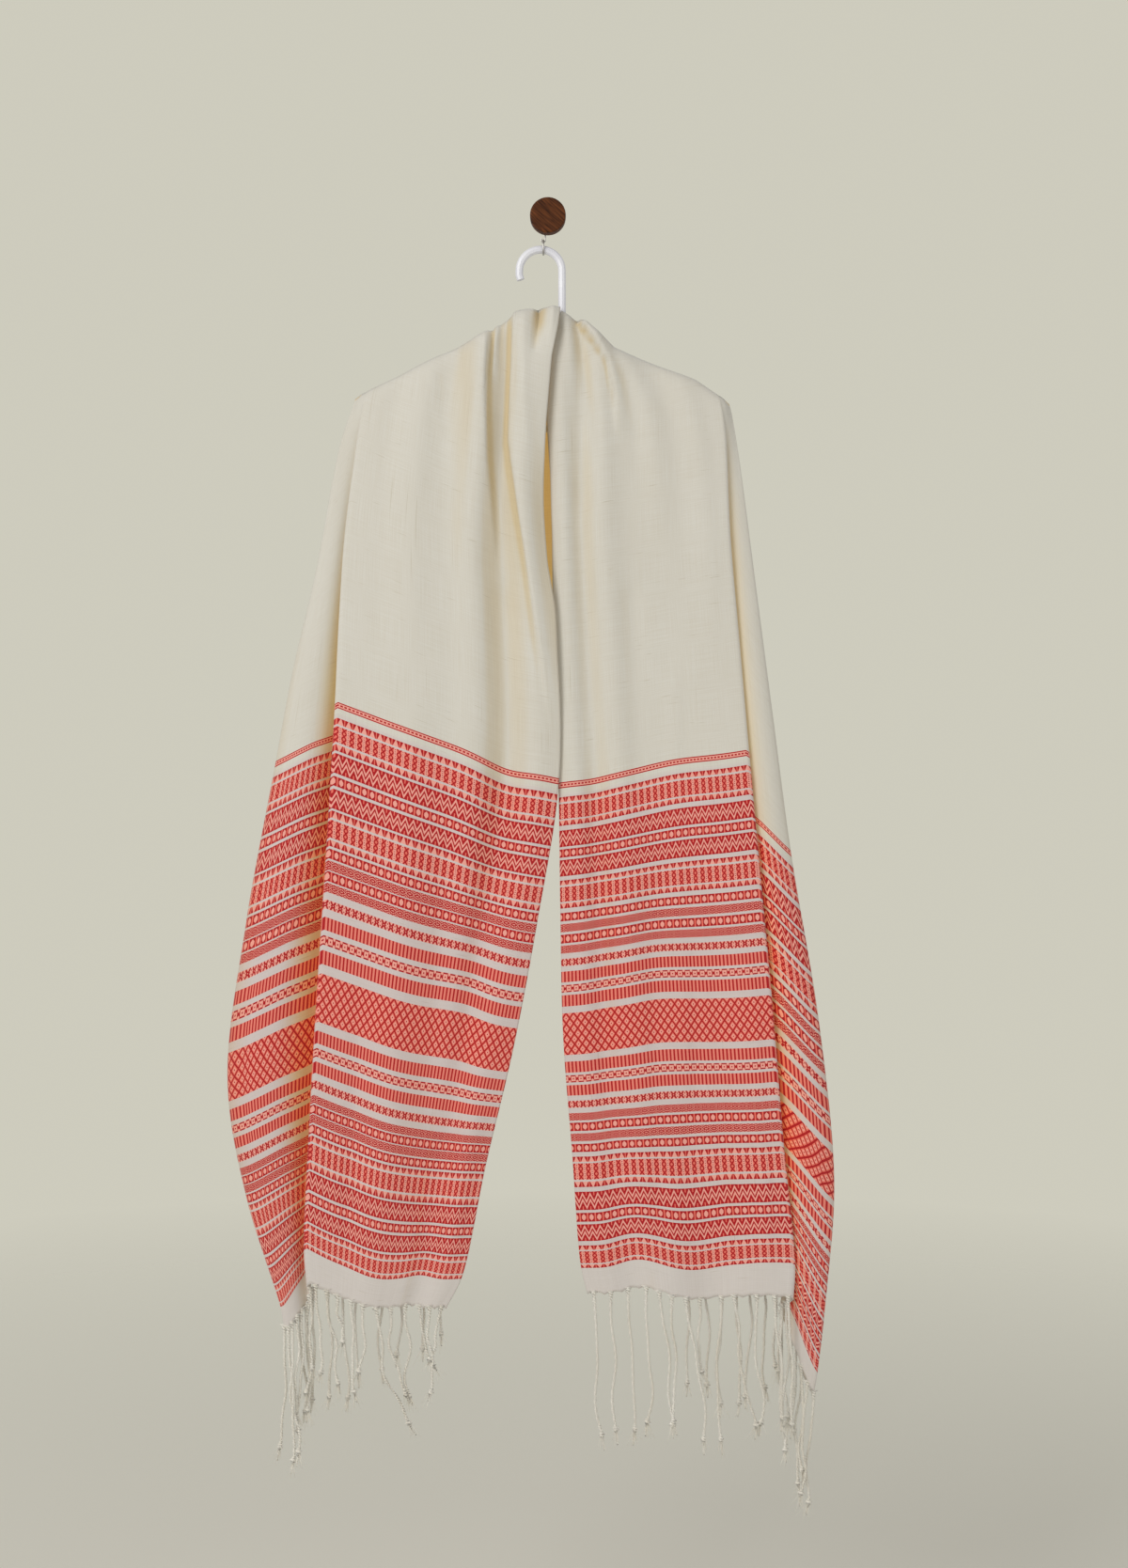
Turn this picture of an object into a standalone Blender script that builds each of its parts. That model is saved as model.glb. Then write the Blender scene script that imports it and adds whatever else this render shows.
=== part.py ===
"""A rebozo shawl hung over a tubular coat hanger, whose hook hangs on a wall knob.

Metres, +Z up, front towards -Y. The origin is the middle of the knob's flat back, on the wall
plane y = 0, and everything else stands in front of the wall. Tables are in millimetres.
"""

import math

import bpy
import numpy as np

MM = 0.001

# Cloth
CLOTH_WALL = 1.4
SEAM_GAP = 0.5
ROWS_PER_STEP = 2
FRONT_COLUMNS = 15
FOLD_RADIUS = 4.0
FRINGE_WALL = 2.0
FRINGE_DROP = 4.5
# Warp lines at each end of a stretch where a fold leaves the fringe no room.
FRINGE_TRIM = {"front": (0, 3), "side": (3, 3), "back": (3, 0)}

# Hanger tube
TUBE_RADIUS = 4.4
HANGER_DEPTH = -26.0
HOOK_CENTRE = (-8.2, -58.5)
HOOK_RADIUS = 24.0
HOOK_TIP_DROP = 10.0
SHAFT_FOOT = -112.6

# Knob, the cup hook under it, and the ring
KNOB_RADIUS = 20.0
KNOB_FACE = -43.0
KNOB_BACK = -30.0
STEM_RADIUS = 9.0
CUP_RADIUS = 2.1
CUP_WIRE = 0.8
RING_WIRE = 0.9
RING_PLACE = (-5.2, -32.2)
RING_HALF_DEPTH = 6.6
RING_HALF_HEIGHT = 8.0

# One row for each weft line of a half, from the shoulder ridge to the cut end. Columns: x, y, z
# of the inner selvedge, of the fold line, of the valley behind it, of the outer turn and of the
# outer selvedge, which hangs behind. "bend" says how late the weft line climbs to the fold line.
COLUMNS = ("inner", "fold", "valley", "outer", "selvedge")
LEFT_ROWS = (
    # bend, inner,             fold,                valley,              outer,               selvedge
    (1.0, (6, -26, -105), (-206, -26, -199), (-210, -25, -204), (-220, -21, -208), (-186, -8, -244)),
    (1.0, (6, -33, -112), (-208, -33, -206), (-211, -30, -211), (-222, -21, -215), (-185, -8, -256)),
    (1.0, (4, -40, -150), (-212, -38, -240), (-210, -32, -254), (-232, -26, -258), (-184, -9, -300)),
    (1.0, (-4, -46, -304), (-226, -46, -350), (-219, -30, -372), (-260, -34, -400), (-174, -10, -420)),
    (1.0, (8, -46, -473), (-232, -54, -450), (-224, -34, -476), (-284, -42, -508), (-164, -14, -500)),
    (1.1, (12, -44, -632), (-236, -60, -548), (-228, -38, -576), (-303, -48, -614), (-156, -14, -590)),
    (1.2, (-11, -46, -784), (-245, -66, -712), (-240, -42, -745), (-335, -52, -791), (-146, -16, -718)),
    (1.3, (-39, -48, -932), (-255, -70, -871), (-251, -44, -912), (-355, -54, -963), (-136, -16, -846)),
    (1.9, (-69, -50, -1060), (-263, -70, -1012), (-261, -45, -1052), (-334, -56, -1094), (-127, -18, -972)),
    (2.8, (-96, -52, -1184), (-269, -68, -1147), (-268, -47, -1174), (-296, -58, -1219), (-118, -18, -1092)),
    (2.8, (-113, -52, -1216), (-266, -68, -1186), (-266, -47, -1208), (-292, -57, -1243), (-115, -18, -1127)),
)
RIGHT_ROWS = (
    (1.0, (16, -33, -109), (195, -26, -204), (199, -25, -209), (209, -21, -213), (174, -8, -250)),
    (1.0, (13, -36, -118), (197, -33, -211), (201, -30, -217), (211, -21, -220), (172, -8, -262)),
    (1.0, (7, -41, -160), (200, -38, -244), (198, -32, -258), (217, -27, -270), (168, -9, -306)),
    (1.0, (5, -42, -309), (204, -44, -360), (196, -30, -396), (232, -34, -410), (162, -10, -430)),
    (1.0, (11, -41, -478), (214, -48, -480), (202, -30, -528), (251, -40, -560), (156, -14, -540)),
    (1.0, (15, -41, -637), (224, -54, -601), (210, -33, -652), (271, -44, -714), (152, -14, -630)),
    (1.0, (14, -44, -777), (237, -60, -749), (224, -34, -816), (301, -48, -898), (148, -16, -758)),
    (1.0, (17, -46, -914), (250, -62, -893), (238, -34, -985), (318, -50, -1076), (146, -16, -886)),
    (1.0, (27, -46, -1045), (261, -62, -1030), (252, -36, -1102), (309, -52, -1205), (146, -18, -1010)),
    (1.0, (37, -48, -1173), (274, -60, -1165), (262, -37, -1192), (299, -52, -1296), (146, -18, -1125)),
    (1.0, (44, -48, -1201), (272, -60, -1204), (260, -37, -1220), (296, -46, -1322), (146, -18, -1160)),
)

# The soft ridges of a front panel. Columns: place across at the ridge line and at the hem (0 is
# the inner selvedge, 1 the fold line), half width, height at the top, height at the hem.
LEFT_RIDGES = (
    (0.09, 0.10, 0.09, 13, 3),
    (0.22, 0.26, 0.09, -9, -2),
    (0.36, 0.34, 0.08, 9, 2),
    (0.70, 0.55, 0.20, 4, 7),
)
RIGHT_RIDGES = (
    (0.07, 0.12, 0.07, 8, 4),
    (0.16, 0.24, 0.07, -7, -3),
    (0.27, 0.40, 0.10, 8, 5),
    (0.62, 0.62, 0.10, 2, -7),
)

# The shoulder line over the hanger, from the left tip to the right one, then the lower edge of
# the swag across the back: x, z.
SHOULDER_LINE = ((-211, -206), (-205, -199), (-162, -179), (-125, -160), (-88, -144), (-62, -130), (-37, -111),
                 (-10, -105), (16, -107), (40, -122), (74, -150), (114, -166), (166, -186), (193, -204), (199, -211))
SWAG_ENDS = ((-200, -240), (188, -246))
SWAG_DEPTH = 180.0
SWAG_FOLDS = 3

# How far each stretch of fringe reaches: (longest, shortest) below its hem, from inside out.
FRINGE_REACH = {
    "left_front": (105, 118), "left_side": (118, 168), "left_back": (168, 148),
    "right_front": (182, 172), "right_side": (172, 140), "right_back": (140, 172),
}

# Middle line of the hanger's arms, left tip to right tip, and its lower bar.
ARM_LINE = ((-202, -210), (-162, -188), (-125, -169), (-88, -153), (-62, -141), (-30, -127), (16, -121),
            (46, -137), (74, -159), (114, -175), (166, -195), (190, -214))
BAR_LEVEL = -236.0


def clear_scene():
    for item in list(bpy.data.objects):
        bpy.data.objects.remove(item, do_unlink=True)


def make_material(name, colour, roughness, metallic=0.0):
    material = bpy.data.materials.new(name)
    material.use_nodes = True
    shader = material.node_tree.nodes["Principled BSDF"]
    shader.inputs["Base Color"].default_value = (*colour, 1.0)
    shader.inputs["Roughness"].default_value = roughness
    shader.inputs["Metallic"].default_value = metallic
    material.diffuse_color = (*colour, 1.0)
    return material


def add_mesh(name, points, faces, material):
    """Makes an object from points in millimetres, with its faces turned outwards."""
    points = np.asarray(points, float) * MM
    corners = [[points[face[0]], points[face[i]], points[face[i + 1]]]
               for face in faces for i in range(1, len(face) - 1)]
    if np.linalg.det(np.array(corners)).sum() < 0:
        faces = [tuple(reversed(face)) for face in faces]
    mesh = bpy.data.meshes.new(name)
    mesh.from_pydata(points.tolist(), [], faces)
    mesh.update()
    mesh.shade_smooth()
    mesh.set_sharp_from_angle(angle=math.radians(50))
    mesh.materials.append(material)
    thing = bpy.data.objects.new(name, mesh)
    bpy.context.collection.objects.link(thing)
    return thing


def smooth_line(points, steps):
    """A smooth curve through the points, with so many steps between each two."""
    points = np.asarray(points, float)
    spans = np.sqrt(np.linalg.norm(np.diff(points, axis=0), axis=1))[:, None]
    slopes = np.diff(points, axis=0) / spans
    middle = (slopes[:-1] * spans[1:] + slopes[1:] * spans[:-1]) / (spans[:-1] + spans[1:])
    slopes = np.vstack([slopes[:1], middle, slopes[-1:]])
    line = []
    for i, span in enumerate(spans):
        for f in np.arange(steps) / steps:
            line.append(points[i] * (1 + 2 * f) * (1 - f) ** 2 + points[i + 1] * f * f * (3 - 2 * f)
                        + slopes[i] * span * f * (1 - f) ** 2 - slopes[i + 1] * span * f * f * (1 - f))
    line.append(points[-1])
    return np.array(line)


def wall_normals(grid):
    """Unit normals of a grid of points, rows by columns."""
    down = np.gradient(grid, axis=0)
    across = np.gradient(grid, axis=1)
    normals = np.cross(down, across)
    return normals / np.linalg.norm(normals, axis=2, keepdims=True)


def cloth_solid(name, grid, normals, wall, material):
    """A closed wall of even thickness on a grid of points."""
    rows, columns, _ = grid.shape
    points = np.concatenate([(grid + normals * wall / 2).reshape(-1, 3),
                             (grid - normals * wall / 2).reshape(-1, 3)])
    back = rows * columns
    faces = []
    for row in range(rows - 1):
        for column in range(columns - 1):
            a = row * columns + column
            quad = (a, a + 1, a + columns + 1, a + columns)
            faces.append(quad)
            faces.append(tuple(back + i for i in reversed(quad)))
    rim = [*range(columns), *(row * columns + columns - 1 for row in range(1, rows)),
           *(back - 1 - i for i in range(1, columns)),
           *(row * columns for row in range(rows - 2, 0, -1))]
    for a, b in zip(rim, rim[1:] + rim[:1]):
        faces.append((b, a, back + a, back + b))
    return add_mesh(name, points, faces, material)


def pull_in(grid, side, gap):
    """Draws one edge of a grid inwards by a gap, so that it stays clear of its neighbour."""
    grid = grid.copy()
    edge, inside = {"first": (0, 1), "last": (-1, -2)}[side]
    step = grid[:, inside] - grid[:, edge]
    grid[:, edge] += step / np.linalg.norm(step, axis=1, keepdims=True) * gap
    return grid


def shoulder_hump(x, ends):
    """How far the shoulder line stands above the straight line between a panel's two ends."""
    line = np.array(SHOULDER_LINE)
    level = np.interp([x, *ends], line[:, 0], line[:, 1])
    return level[0] - np.interp(x, *zip(*sorted(zip(ends, level[1:]))))


def section(row, ridges, fall):
    """One weft line of a half, from the inner selvedge round to the outer one."""
    bend = row[0]
    place = {column: np.array(point, float) for column, point in zip(COLUMNS, row[1:])}
    out = math.copysign(1.0, place["fold"][0])
    turn = FOLD_RADIUS
    fold_front = place["fold"] - (out * turn, 0, 0)
    line = []
    near_top = max(0.0, 1 - 20 * fall)
    for across in np.linspace(0, 1, FRONT_COLUMNS):
        point = place["inner"] + (fold_front - place["inner"]) * across
        point[1] = fold_front[1] + (place["inner"][1] - fold_front[1]) * (1 - across) ** (1 + 9 * near_top)
        point[2] = place["inner"][2] + (fold_front[2] - place["inner"][2]) * across ** bend
        ends = (place["inner"][0], fold_front[0])
        point[2] += shoulder_hump(point[0], ends) * max(0.0, 1 - 4 * fall)
        for top, hem, half_width, height_top, height_hem in ridges:
            away = (across - top - (hem - top) * fall) / half_width
            height = height_top + (height_hem - height_top) * fall
            start = 12 * fall + 0.3 if height > 0 else 12 * fall - 0.2
            point[1] -= height * min(1.0, max(0.0, start)) * math.exp(-away * away)
        line.append(point)
    for angle in (60, 120, 180):
        step = math.radians(angle) * min(1.0, 0.1 + 8 * fall)
        line.append(fold_front + (out * turn * math.sin(step), turn * (1 - math.cos(step)), -2 * step))
    front_end = len(line) - 1
    swell = min(1.0, 4 * fall) * (place["outer"][0] - place["valley"][0]) * out * 0.22
    crown = place["valley"] * 0.55 + place["outer"] * 0.45 - (0, swell, 0)
    shoulder = place["valley"] * 0.18 + place["outer"] * 0.82 - (0, 0.75 * swell, 0)
    back = place["outer"] + (-out * 2.5 * turn, 2.4 * turn, 0)
    side = smooth_line([line[-1], place["valley"], crown, shoulder, place["outer"], back], 3)
    line.extend(side[1:])
    side_end = len(line) - 1
    hollow = back * 0.6 + place["selvedge"] * 0.4
    hollow += (0, 8 * min(1.0, 4 * fall), (place["selvedge"][2] - back[2]) * 0.25)
    line.extend(smooth_line([back, hollow, place["selvedge"]], 4)[1:])
    return line, front_end, side_end


def half_grid(rows, ridges):
    """The hanging form of one half of the shawl: weft lines by warp lines."""
    top, hem = rows[0][1][2], rows[-1][1][2]
    sections = [section(row, ridges, (top - row[1][2]) / (top - hem)) for row in rows]
    front_end, side_end = sections[0][1:]
    columns = np.array([line for line, _, _ in sections]).transpose(1, 0, 2)
    grid = np.array([smooth_line(column, ROWS_PER_STEP) for column in columns]).transpose(1, 0, 2)
    return grid, front_end, side_end


def add_half(side, rows, ridges, cloth, cord):
    """Front panel, side stretch and back layer of one half, each with its fringe."""
    grid, front_end, side_end = half_grid(rows, ridges)
    normals = wall_normals(grid)
    last = grid.shape[1] - 1
    stretches = {"front": (0, front_end), "side": (front_end, side_end), "back": (side_end, last)}
    for stretch, (start, end) in stretches.items():
        part = grid[:, start:end + 1]
        part = pull_in(part, "first", SEAM_GAP) if start else part
        part = pull_in(part, "last", SEAM_GAP) if end < last else part
        upright = normals[:, start:end + 1]
        cloth_solid(f"{side}_{stretch}_panel", part, upright, CLOTH_WALL, cloth)
        first, last_trim = FRINGE_TRIM[stretch]
        kept = slice(first, part.shape[1] - last_trim)
        hem = part[-1, kept] - (0, 0, FRINGE_DROP)
        reach = np.linspace(*FRINGE_REACH[f"{side}_{stretch}"], len(hem))
        levels = np.array([hem - np.outer(reach * share, (0, 0, 1)) for share in (0, 0.35, 0.7, 1)])
        flat = upright[-1, kept] * (1, 1, 0)
        flat /= np.linalg.norm(flat, axis=1, keepdims=True)
        cloth_solid(f"{side}_{stretch}_fringe", levels, np.array([flat] * 4), FRINGE_WALL, cord)


def add_swag(cloth):
    """The middle of the shawl, which hangs in a swag across the back, from tip to tip."""
    top = smooth_line(SHOULDER_LINE, 2)
    across = (top[:, 0] - top[0, 0]) / (top[-1, 0] - top[0, 0])
    foot = np.array(SWAG_ENDS[0]) + np.outer(across, np.subtract(*reversed(SWAG_ENDS)))
    dip = SWAG_DEPTH * np.sin(np.pi * across) ** 0.8
    behind_shaft = 6.0 * np.exp(-((top[:, 0] - 16) / 14) ** 4)
    wrap = np.minimum(1.0, 12 * np.minimum(across, 1 - across))
    levels = []
    for drop, depth in ((0, 1.8), (1.5, 4.6), (5, 6.6), (10, 7.4)):
        shift = np.maximum(depth, behind_shaft)
        levels.append(np.column_stack([top[:, 0], HANGER_DEPTH + shift, top[:, 1] - drop]))
    for fall in np.linspace(0.1, 1, 12):
        fold = 2.2 * np.sin(np.pi * across) * (1 - math.cos(2 * math.pi * SWAG_FOLDS * fall)) * fall
        level = np.empty((len(top), 3))
        level[:, 0] = top[:, 0] + (foot[:, 0] - top[:, 0]) * fall
        level[:, 1] = HANGER_DEPTH + 7.4 + 4 * fall * wrap + fold
        level[:, 2] = top[:, 1] - 10 + (foot[:, 1] - top[:, 1] + 10) * fall - dip * fall
        levels.append(level)
    grid = np.array(levels)
    cloth_solid("back_swag", grid, wall_normals(grid), CLOTH_WALL, cloth)


def add_tube(name, line, radius, material, closed=False, sides=3):
    curve = bpy.data.curves.new(name, "CURVE")
    curve.dimensions = "3D"
    curve.bevel_depth = radius * MM
    curve.bevel_resolution = sides
    curve.use_fill_caps = not closed
    spline = curve.splines.new("POLY")
    spline.points.add(len(line) - 1)
    for point, place in zip(spline.points, line):
        point.co = (*(value * MM for value in place), 1.0)
        point.radius = 1.0
    spline.use_cyclic_u = closed
    spline.use_smooth = True
    curve.materials.append(material)
    thing = bpy.data.objects.new(name, curve)
    bpy.context.collection.objects.link(thing)
    return thing


def add_turned(name, profile, centre, material, sides=48):
    """A body turned round an axis along Y: profile rows are (radius, y), ending on the axis."""
    points = []
    for radius, depth in profile:
        for step in range(sides):
            angle = 2 * math.pi * step / sides
            points.append((centre[0] + radius * math.cos(angle), depth, centre[1] + radius * math.sin(angle)))
    faces = [tuple(range(sides)), tuple(reversed(range((len(profile) - 1) * sides, len(profile) * sides)))]
    for ring in range(len(profile) - 1):
        for step in range(sides):
            ahead = (step + 1) % sides
            a, b = ring * sides + step, ring * sides + ahead
            faces.append((b, a, a + sides, b + sides))
    return add_mesh(name, points, faces, material)


def add_hanger(plastic):
    """A tubular hanger: shoulder arms with a lower bar in one loop, and the hook above them."""
    arms = smooth_line([(x, HANGER_DEPTH, z) for x, z in ARM_LINE], 2)
    tips = []
    for x, z in (ARM_LINE[-1], ARM_LINE[0]):
        out = math.copysign(1.0, x)
        low = [(x + out * 3, z - 8), (x + out * 2, BAR_LEVEL + 5), (x - out * 6, BAR_LEVEL)]
        tips.append([(px, HANGER_DEPTH, pz) for px, pz in low])
    loop = [*arms, *tips[0], *reversed(tips[1])]
    add_tube("hanger_arms", loop, TUBE_RADIUS, plastic, closed=True)
    x, z = HOOK_CENTRE
    arch = [(x - HOOK_RADIUS + 1.5, HANGER_DEPTH, z - HOOK_TIP_DROP), (x - HOOK_RADIUS, HANGER_DEPTH, z - 5)]
    for step in range(19):
        angle = math.pi * (1 - step / 18)
        arch.append((x + HOOK_RADIUS * math.cos(angle), HANGER_DEPTH, z + HOOK_RADIUS * math.sin(angle)))
    shaft = x + HOOK_RADIUS
    arch += [(shaft, HANGER_DEPTH, level) for level in (-80, -100, SHAFT_FOOT)]
    add_tube("hanger_hook", arch, TUBE_RADIUS, plastic)


def add_knob(wood, steel):
    rim = [(KNOB_RADIUS - 1.6 + 1.6 * math.cos(math.radians(a)), KNOB_FACE + 1.6 - 1.6 * math.sin(math.radians(a)))
           for a in (0, 30, 60, 90)]
    profile = [(STEM_RADIUS, 0), (STEM_RADIUS, KNOB_BACK), (KNOB_RADIUS - 1, KNOB_BACK),
               (KNOB_RADIUS, KNOB_BACK - 1), *rim]
    add_turned("wall_knob", profile, (0, 0), wood)
    x, z = RING_PLACE
    top = z + RING_HALF_HEIGHT
    bend = [(x + CUP_RADIUS * math.cos(math.radians(a)), HANGER_DEPTH, top - CUP_RADIUS * math.sin(math.radians(a)))
            for a in range(0, 181, 30)]
    cup = [(x + CUP_RADIUS, HANGER_DEPTH, -STEM_RADIUS - 0.3), *bend, (x - CUP_RADIUS, HANGER_DEPTH, top + 2)]
    add_tube("cup_hook", cup, CUP_WIRE, steel, sides=2)
    ring = []
    for step in range(24):
        angle = 2 * math.pi * step / 24
        ring.append((x, HANGER_DEPTH + RING_HALF_DEPTH * math.cos(angle), z + RING_HALF_HEIGHT * math.sin(angle)))
    add_tube("hanging_ring", ring, RING_WIRE, steel, closed=True, sides=2)


def main():
    clear_scene()
    cloth = make_material("shawl_cotton", (0.80, 0.74, 0.66), 0.85)
    cord = make_material("fringe_cotton", (0.82, 0.76, 0.66), 0.85)
    plastic = make_material("hanger_plastic", (0.85, 0.85, 0.88), 0.35)
    wood = make_material("knob_wood", (0.10, 0.035, 0.015), 0.45)
    steel = make_material("ring_steel", (0.55, 0.53, 0.50), 0.30, metallic=1.0)
    add_half("left", LEFT_ROWS, LEFT_RIDGES, cloth, cord)
    add_half("right", RIGHT_ROWS, RIGHT_RIDGES, cloth, cord)
    add_swag(cloth)
    add_hanger(plastic)
    add_knob(wood, steel)


main()
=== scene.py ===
import math
import random

import bpy
import bmesh
import numpy as np
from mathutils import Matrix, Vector


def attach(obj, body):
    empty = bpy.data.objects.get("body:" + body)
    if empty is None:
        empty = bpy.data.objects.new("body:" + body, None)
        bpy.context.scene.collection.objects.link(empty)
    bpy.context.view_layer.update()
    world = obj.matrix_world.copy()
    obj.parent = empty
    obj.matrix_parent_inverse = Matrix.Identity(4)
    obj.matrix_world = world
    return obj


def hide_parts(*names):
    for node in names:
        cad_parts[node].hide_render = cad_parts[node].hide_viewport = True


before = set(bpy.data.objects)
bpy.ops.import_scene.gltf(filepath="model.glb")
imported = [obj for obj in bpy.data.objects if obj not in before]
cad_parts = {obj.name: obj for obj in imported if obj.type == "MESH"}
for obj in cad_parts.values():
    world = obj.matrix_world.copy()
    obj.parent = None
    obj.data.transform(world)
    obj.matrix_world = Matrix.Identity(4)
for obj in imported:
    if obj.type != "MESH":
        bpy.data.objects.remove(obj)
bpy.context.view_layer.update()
mm = 0.001
chance = random.Random(11)


# The shawl as it hangs, in millimetres. One row for each weft line of a half, ridge to cut end:
# x, y, z of inner selvedge, fold line, valley behind it, outer turn, outer selvedge.
leftHalf = {
    "side": "left",
    "bends": (1, 1, 1, 1, 1, 1.1, 1.2, 1.3, 1.9, 2.8, 2.8),  # how late each line climbs to the fold
    "rows": (
        ((6, -26, -102), (-205, -26, -193), (-209, -25, -197), (-217, -21, -202), (-186, -8, -242)),
        ((6, -33, -109), (-207, -33, -200), (-210, -30, -205), (-219, -21, -209), (-185, -8, -254)),
        ((4, -40, -148), (-212, -38, -236), (-210, -32, -250), (-233, -26, -254), (-184, -9, -298)),
        ((-4, -46, -304), (-226, -46, -350), (-219, -30, -372), (-260, -34, -400), (-174, -10, -420)),
        ((8, -46, -473), (-232, -54, -450), (-224, -34, -476), (-284, -42, -508), (-164, -14, -500)),
        ((12, -44, -632), (-236, -60, -548), (-228, -38, -576), (-303, -48, -614), (-156, -14, -590)),
        ((-11, -46, -784), (-245, -66, -712), (-240, -42, -745), (-335, -52, -791), (-146, -16, -718)),
        ((-39, -48, -932), (-255, -70, -871), (-251, -44, -912), (-355, -54, -963), (-136, -16, -846)),
        ((-69, -50, -1060), (-263, -70, -1012), (-261, -45, -1052), (-334, -56, -1094), (-127, -18, -972)),
        ((-96, -52, -1184), (-269, -68, -1147), (-268, -47, -1174), (-296, -58, -1219), (-118, -18, -1092)),
        ((-113, -52, -1216), (-266, -68, -1186), (-266, -47, -1208), (-292, -57, -1243), (-115, -18, -1127)),
    ),
    # across at the top, across at the hem, half width, height at the top, height at the hem
    "ridges": ((0.09, 0.10, 0.09, 13, 3), (0.22, 0.26, 0.09, -9, -2), (0.36, 0.34, 0.08, 9, 2),
               (0.70, 0.55, 0.20, 4, 7)),
    # cloth width in metres from the inner selvedge: fold line, valley, outer turn, outer selvedge
    "widths": (0.246, 0.285, 0.415, 0.62),
    "hemLift": (0.450, 0.030, 40, 0.75),  # place, spread, rise, share of the drop where it starts
    "glow": (0.292, 0.030, 0.55),  # daylight through the cloth behind the fold: across, spread, strength
}
rightHalf = {
    "side": "right",
    "bends": (1,) * 11,
    "rows": (
        ((16, -31, -105), (193, -26, -197), (197, -25, -202), (204, -21, -208), (174, -8, -246)),
        ((12, -33, -114), (195, -33, -204), (199, -30, -210), (206, -21, -216), (172, -8, -258)),
        ((4, -36, -158), (199, -38, -240), (198, -32, -254), (214, -27, -268), (168, -9, -304)),
        ((3, -40, -309), (204, -44, -360), (196, -30, -396), (232, -34, -410), (162, -10, -430)),
        ((7, -41, -478), (214, -48, -480), (202, -30, -528), (251, -40, -560), (156, -14, -540)),
        ((12, -42, -637), (224, -54, -601), (210, -33, -652), (271, -44, -714), (152, -14, -630)),
        ((14, -44, -777), (237, -60, -749), (224, -34, -816), (301, -48, -898), (148, -16, -758)),
        ((17, -46, -914), (250, -62, -893), (238, -34, -985), (318, -50, -1076), (146, -16, -886)),
        ((27, -46, -1045), (261, -62, -1030), (252, -36, -1102), (309, -52, -1205), (146, -18, -1010)),
        ((37, -48, -1173), (274, -60, -1165), (262, -37, -1192), (299, -52, -1296), (146, -18, -1125)),
        ((44, -48, -1201), (272, -60, -1204), (260, -37, -1220), (296, -46, -1322), (146, -18, -1160)),
    ),
    "ridges": ((0.07, 0.12, 0.07, 8, 4), (0.16, 0.24, 0.07, -7, -3), (0.27, 0.40, 0.10, 8, 5),
               (0.62, 0.62, 0.10, 2, -7)),
    "widths": (0.242, 0.300, 0.385, 0.62),
    "hemLift": (0.456, 0.045, 112, 0.70),
    "glow": (0.312, 0.028, 0.68),
}

cloth = {
    "thickness": 0.9,
    "rowSteps": (2, 6, 20, 22, 22, 20, 20, 18, 18, 8),  # mesh rows between each two weft lines
    "frontColumns": 78,
    "nearNeck": (0.52, 0.34),  # this share of the columns stands within this share of the width
    "foldRadius": 4.0,
    "foldSteps": 6,
    "foldWidth": 0.006,  # cloth that goes round the fold, in metres
    "foldGrowth": (0.1, 8),  # how closed the fold is at the ridge, and how fast it closes further down
    "sideSteps": 5,
    "sideSwell": 0.22,  # how far a side stretch swells forwards, as a share of its width
    "crown": 0.45,  # where it swells most, on the way from the valley to the outer turn
    "brow": 0.82,  # where it still swells by browSwell of that
    "browSwell": 0.75,
    "turnWidth": 0.015,  # cloth that goes round the outer turn, in metres
    "outerTurn": (2.5, 2.4),  # how far the turn goes back inwards and backwards, in fold radii
    "backSteps": 6,
    "backBelly": (0.4, 8, 0.25),  # where the back layer sags, how deep, and the share of its drop
    "lineLengths": (0.58, 0.72, 0.856, 0.99, 1.119, 1.155),  # cloth length of weft lines 5 to 10
    "shoulder": ((-211, -200), (-205, -192), (-162, -172), (-125, -154), (-88, -140), (-62, -128),
                 (-37, -108), (-10, -102), (16, -104), (40, -118), (74, -146), (114, -160),
                 (166, -179), (193, -197), (199, -204)),
    "neckDrop": 0.05,  # share of the drop in which only the inner edge stands forward, and how sharply
    "neckSharpness": 9,
    "shoulderDrop": 0.25,  # share in which the shoulder's hump fades and the side stretches swell
    "ridgeGrowth": 12,  # how fast ridges and hollows grow down the drop, and the head start of each
    "ridgeStart": 0.3,
    "hollowStart": -0.2,
    "scallop": 3.0,  # dips of the cut end, in millimetres
    "scallopWidth": 0.0207,  # from one cord to the next, in metres
    "flatWidth": 0.62,
    "flatLength": 2.31,
}


def smoothLine(points, steps):
    # smooth curve through the points, with steps[i] stretches between each two
    points = np.asarray(points, float)
    spans = np.sqrt(np.linalg.norm(np.diff(points, axis=0), axis=1))[:, None]
    slopes = np.diff(points, axis=0) / spans
    middle = (slopes[:-1] * spans[1:] + slopes[1:] * spans[:-1]) / (spans[:-1] + spans[1:])
    slopes = np.vstack([slopes[:1], middle, slopes[-1:]])
    line = []
    for i, span in enumerate(spans):
        for f in np.arange(steps[i]) / steps[i]:
            line.append(points[i] * (1 + 2 * f) * (1 - f) ** 2 + points[i + 1] * f * f * (3 - 2 * f)
                        + slopes[i] * span * f * (1 - f) ** 2 - slopes[i + 1] * span * f * f * (1 - f))
    line.append(points[-1])
    return np.array(line)


def between(first, second, share):
    return first * (1 - share) + second * share


def frontShares():
    # where the columns of a front stand, closer together beside the neck
    columns, width = cloth["nearNeck"]
    return np.interp(np.linspace(0, 1, cloth["frontColumns"]), (0, columns, 1), (0, width, 1))


def shoulderHump(x, ends):
    # how far the shoulder stands above the straight line between a front's two ends
    line = np.array(cloth["shoulder"])
    level = np.interp([x, *ends], line[:, 0], line[:, 1])
    return level[0] - np.interp(x, *zip(*sorted(zip(ends, level[1:]))))


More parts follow.
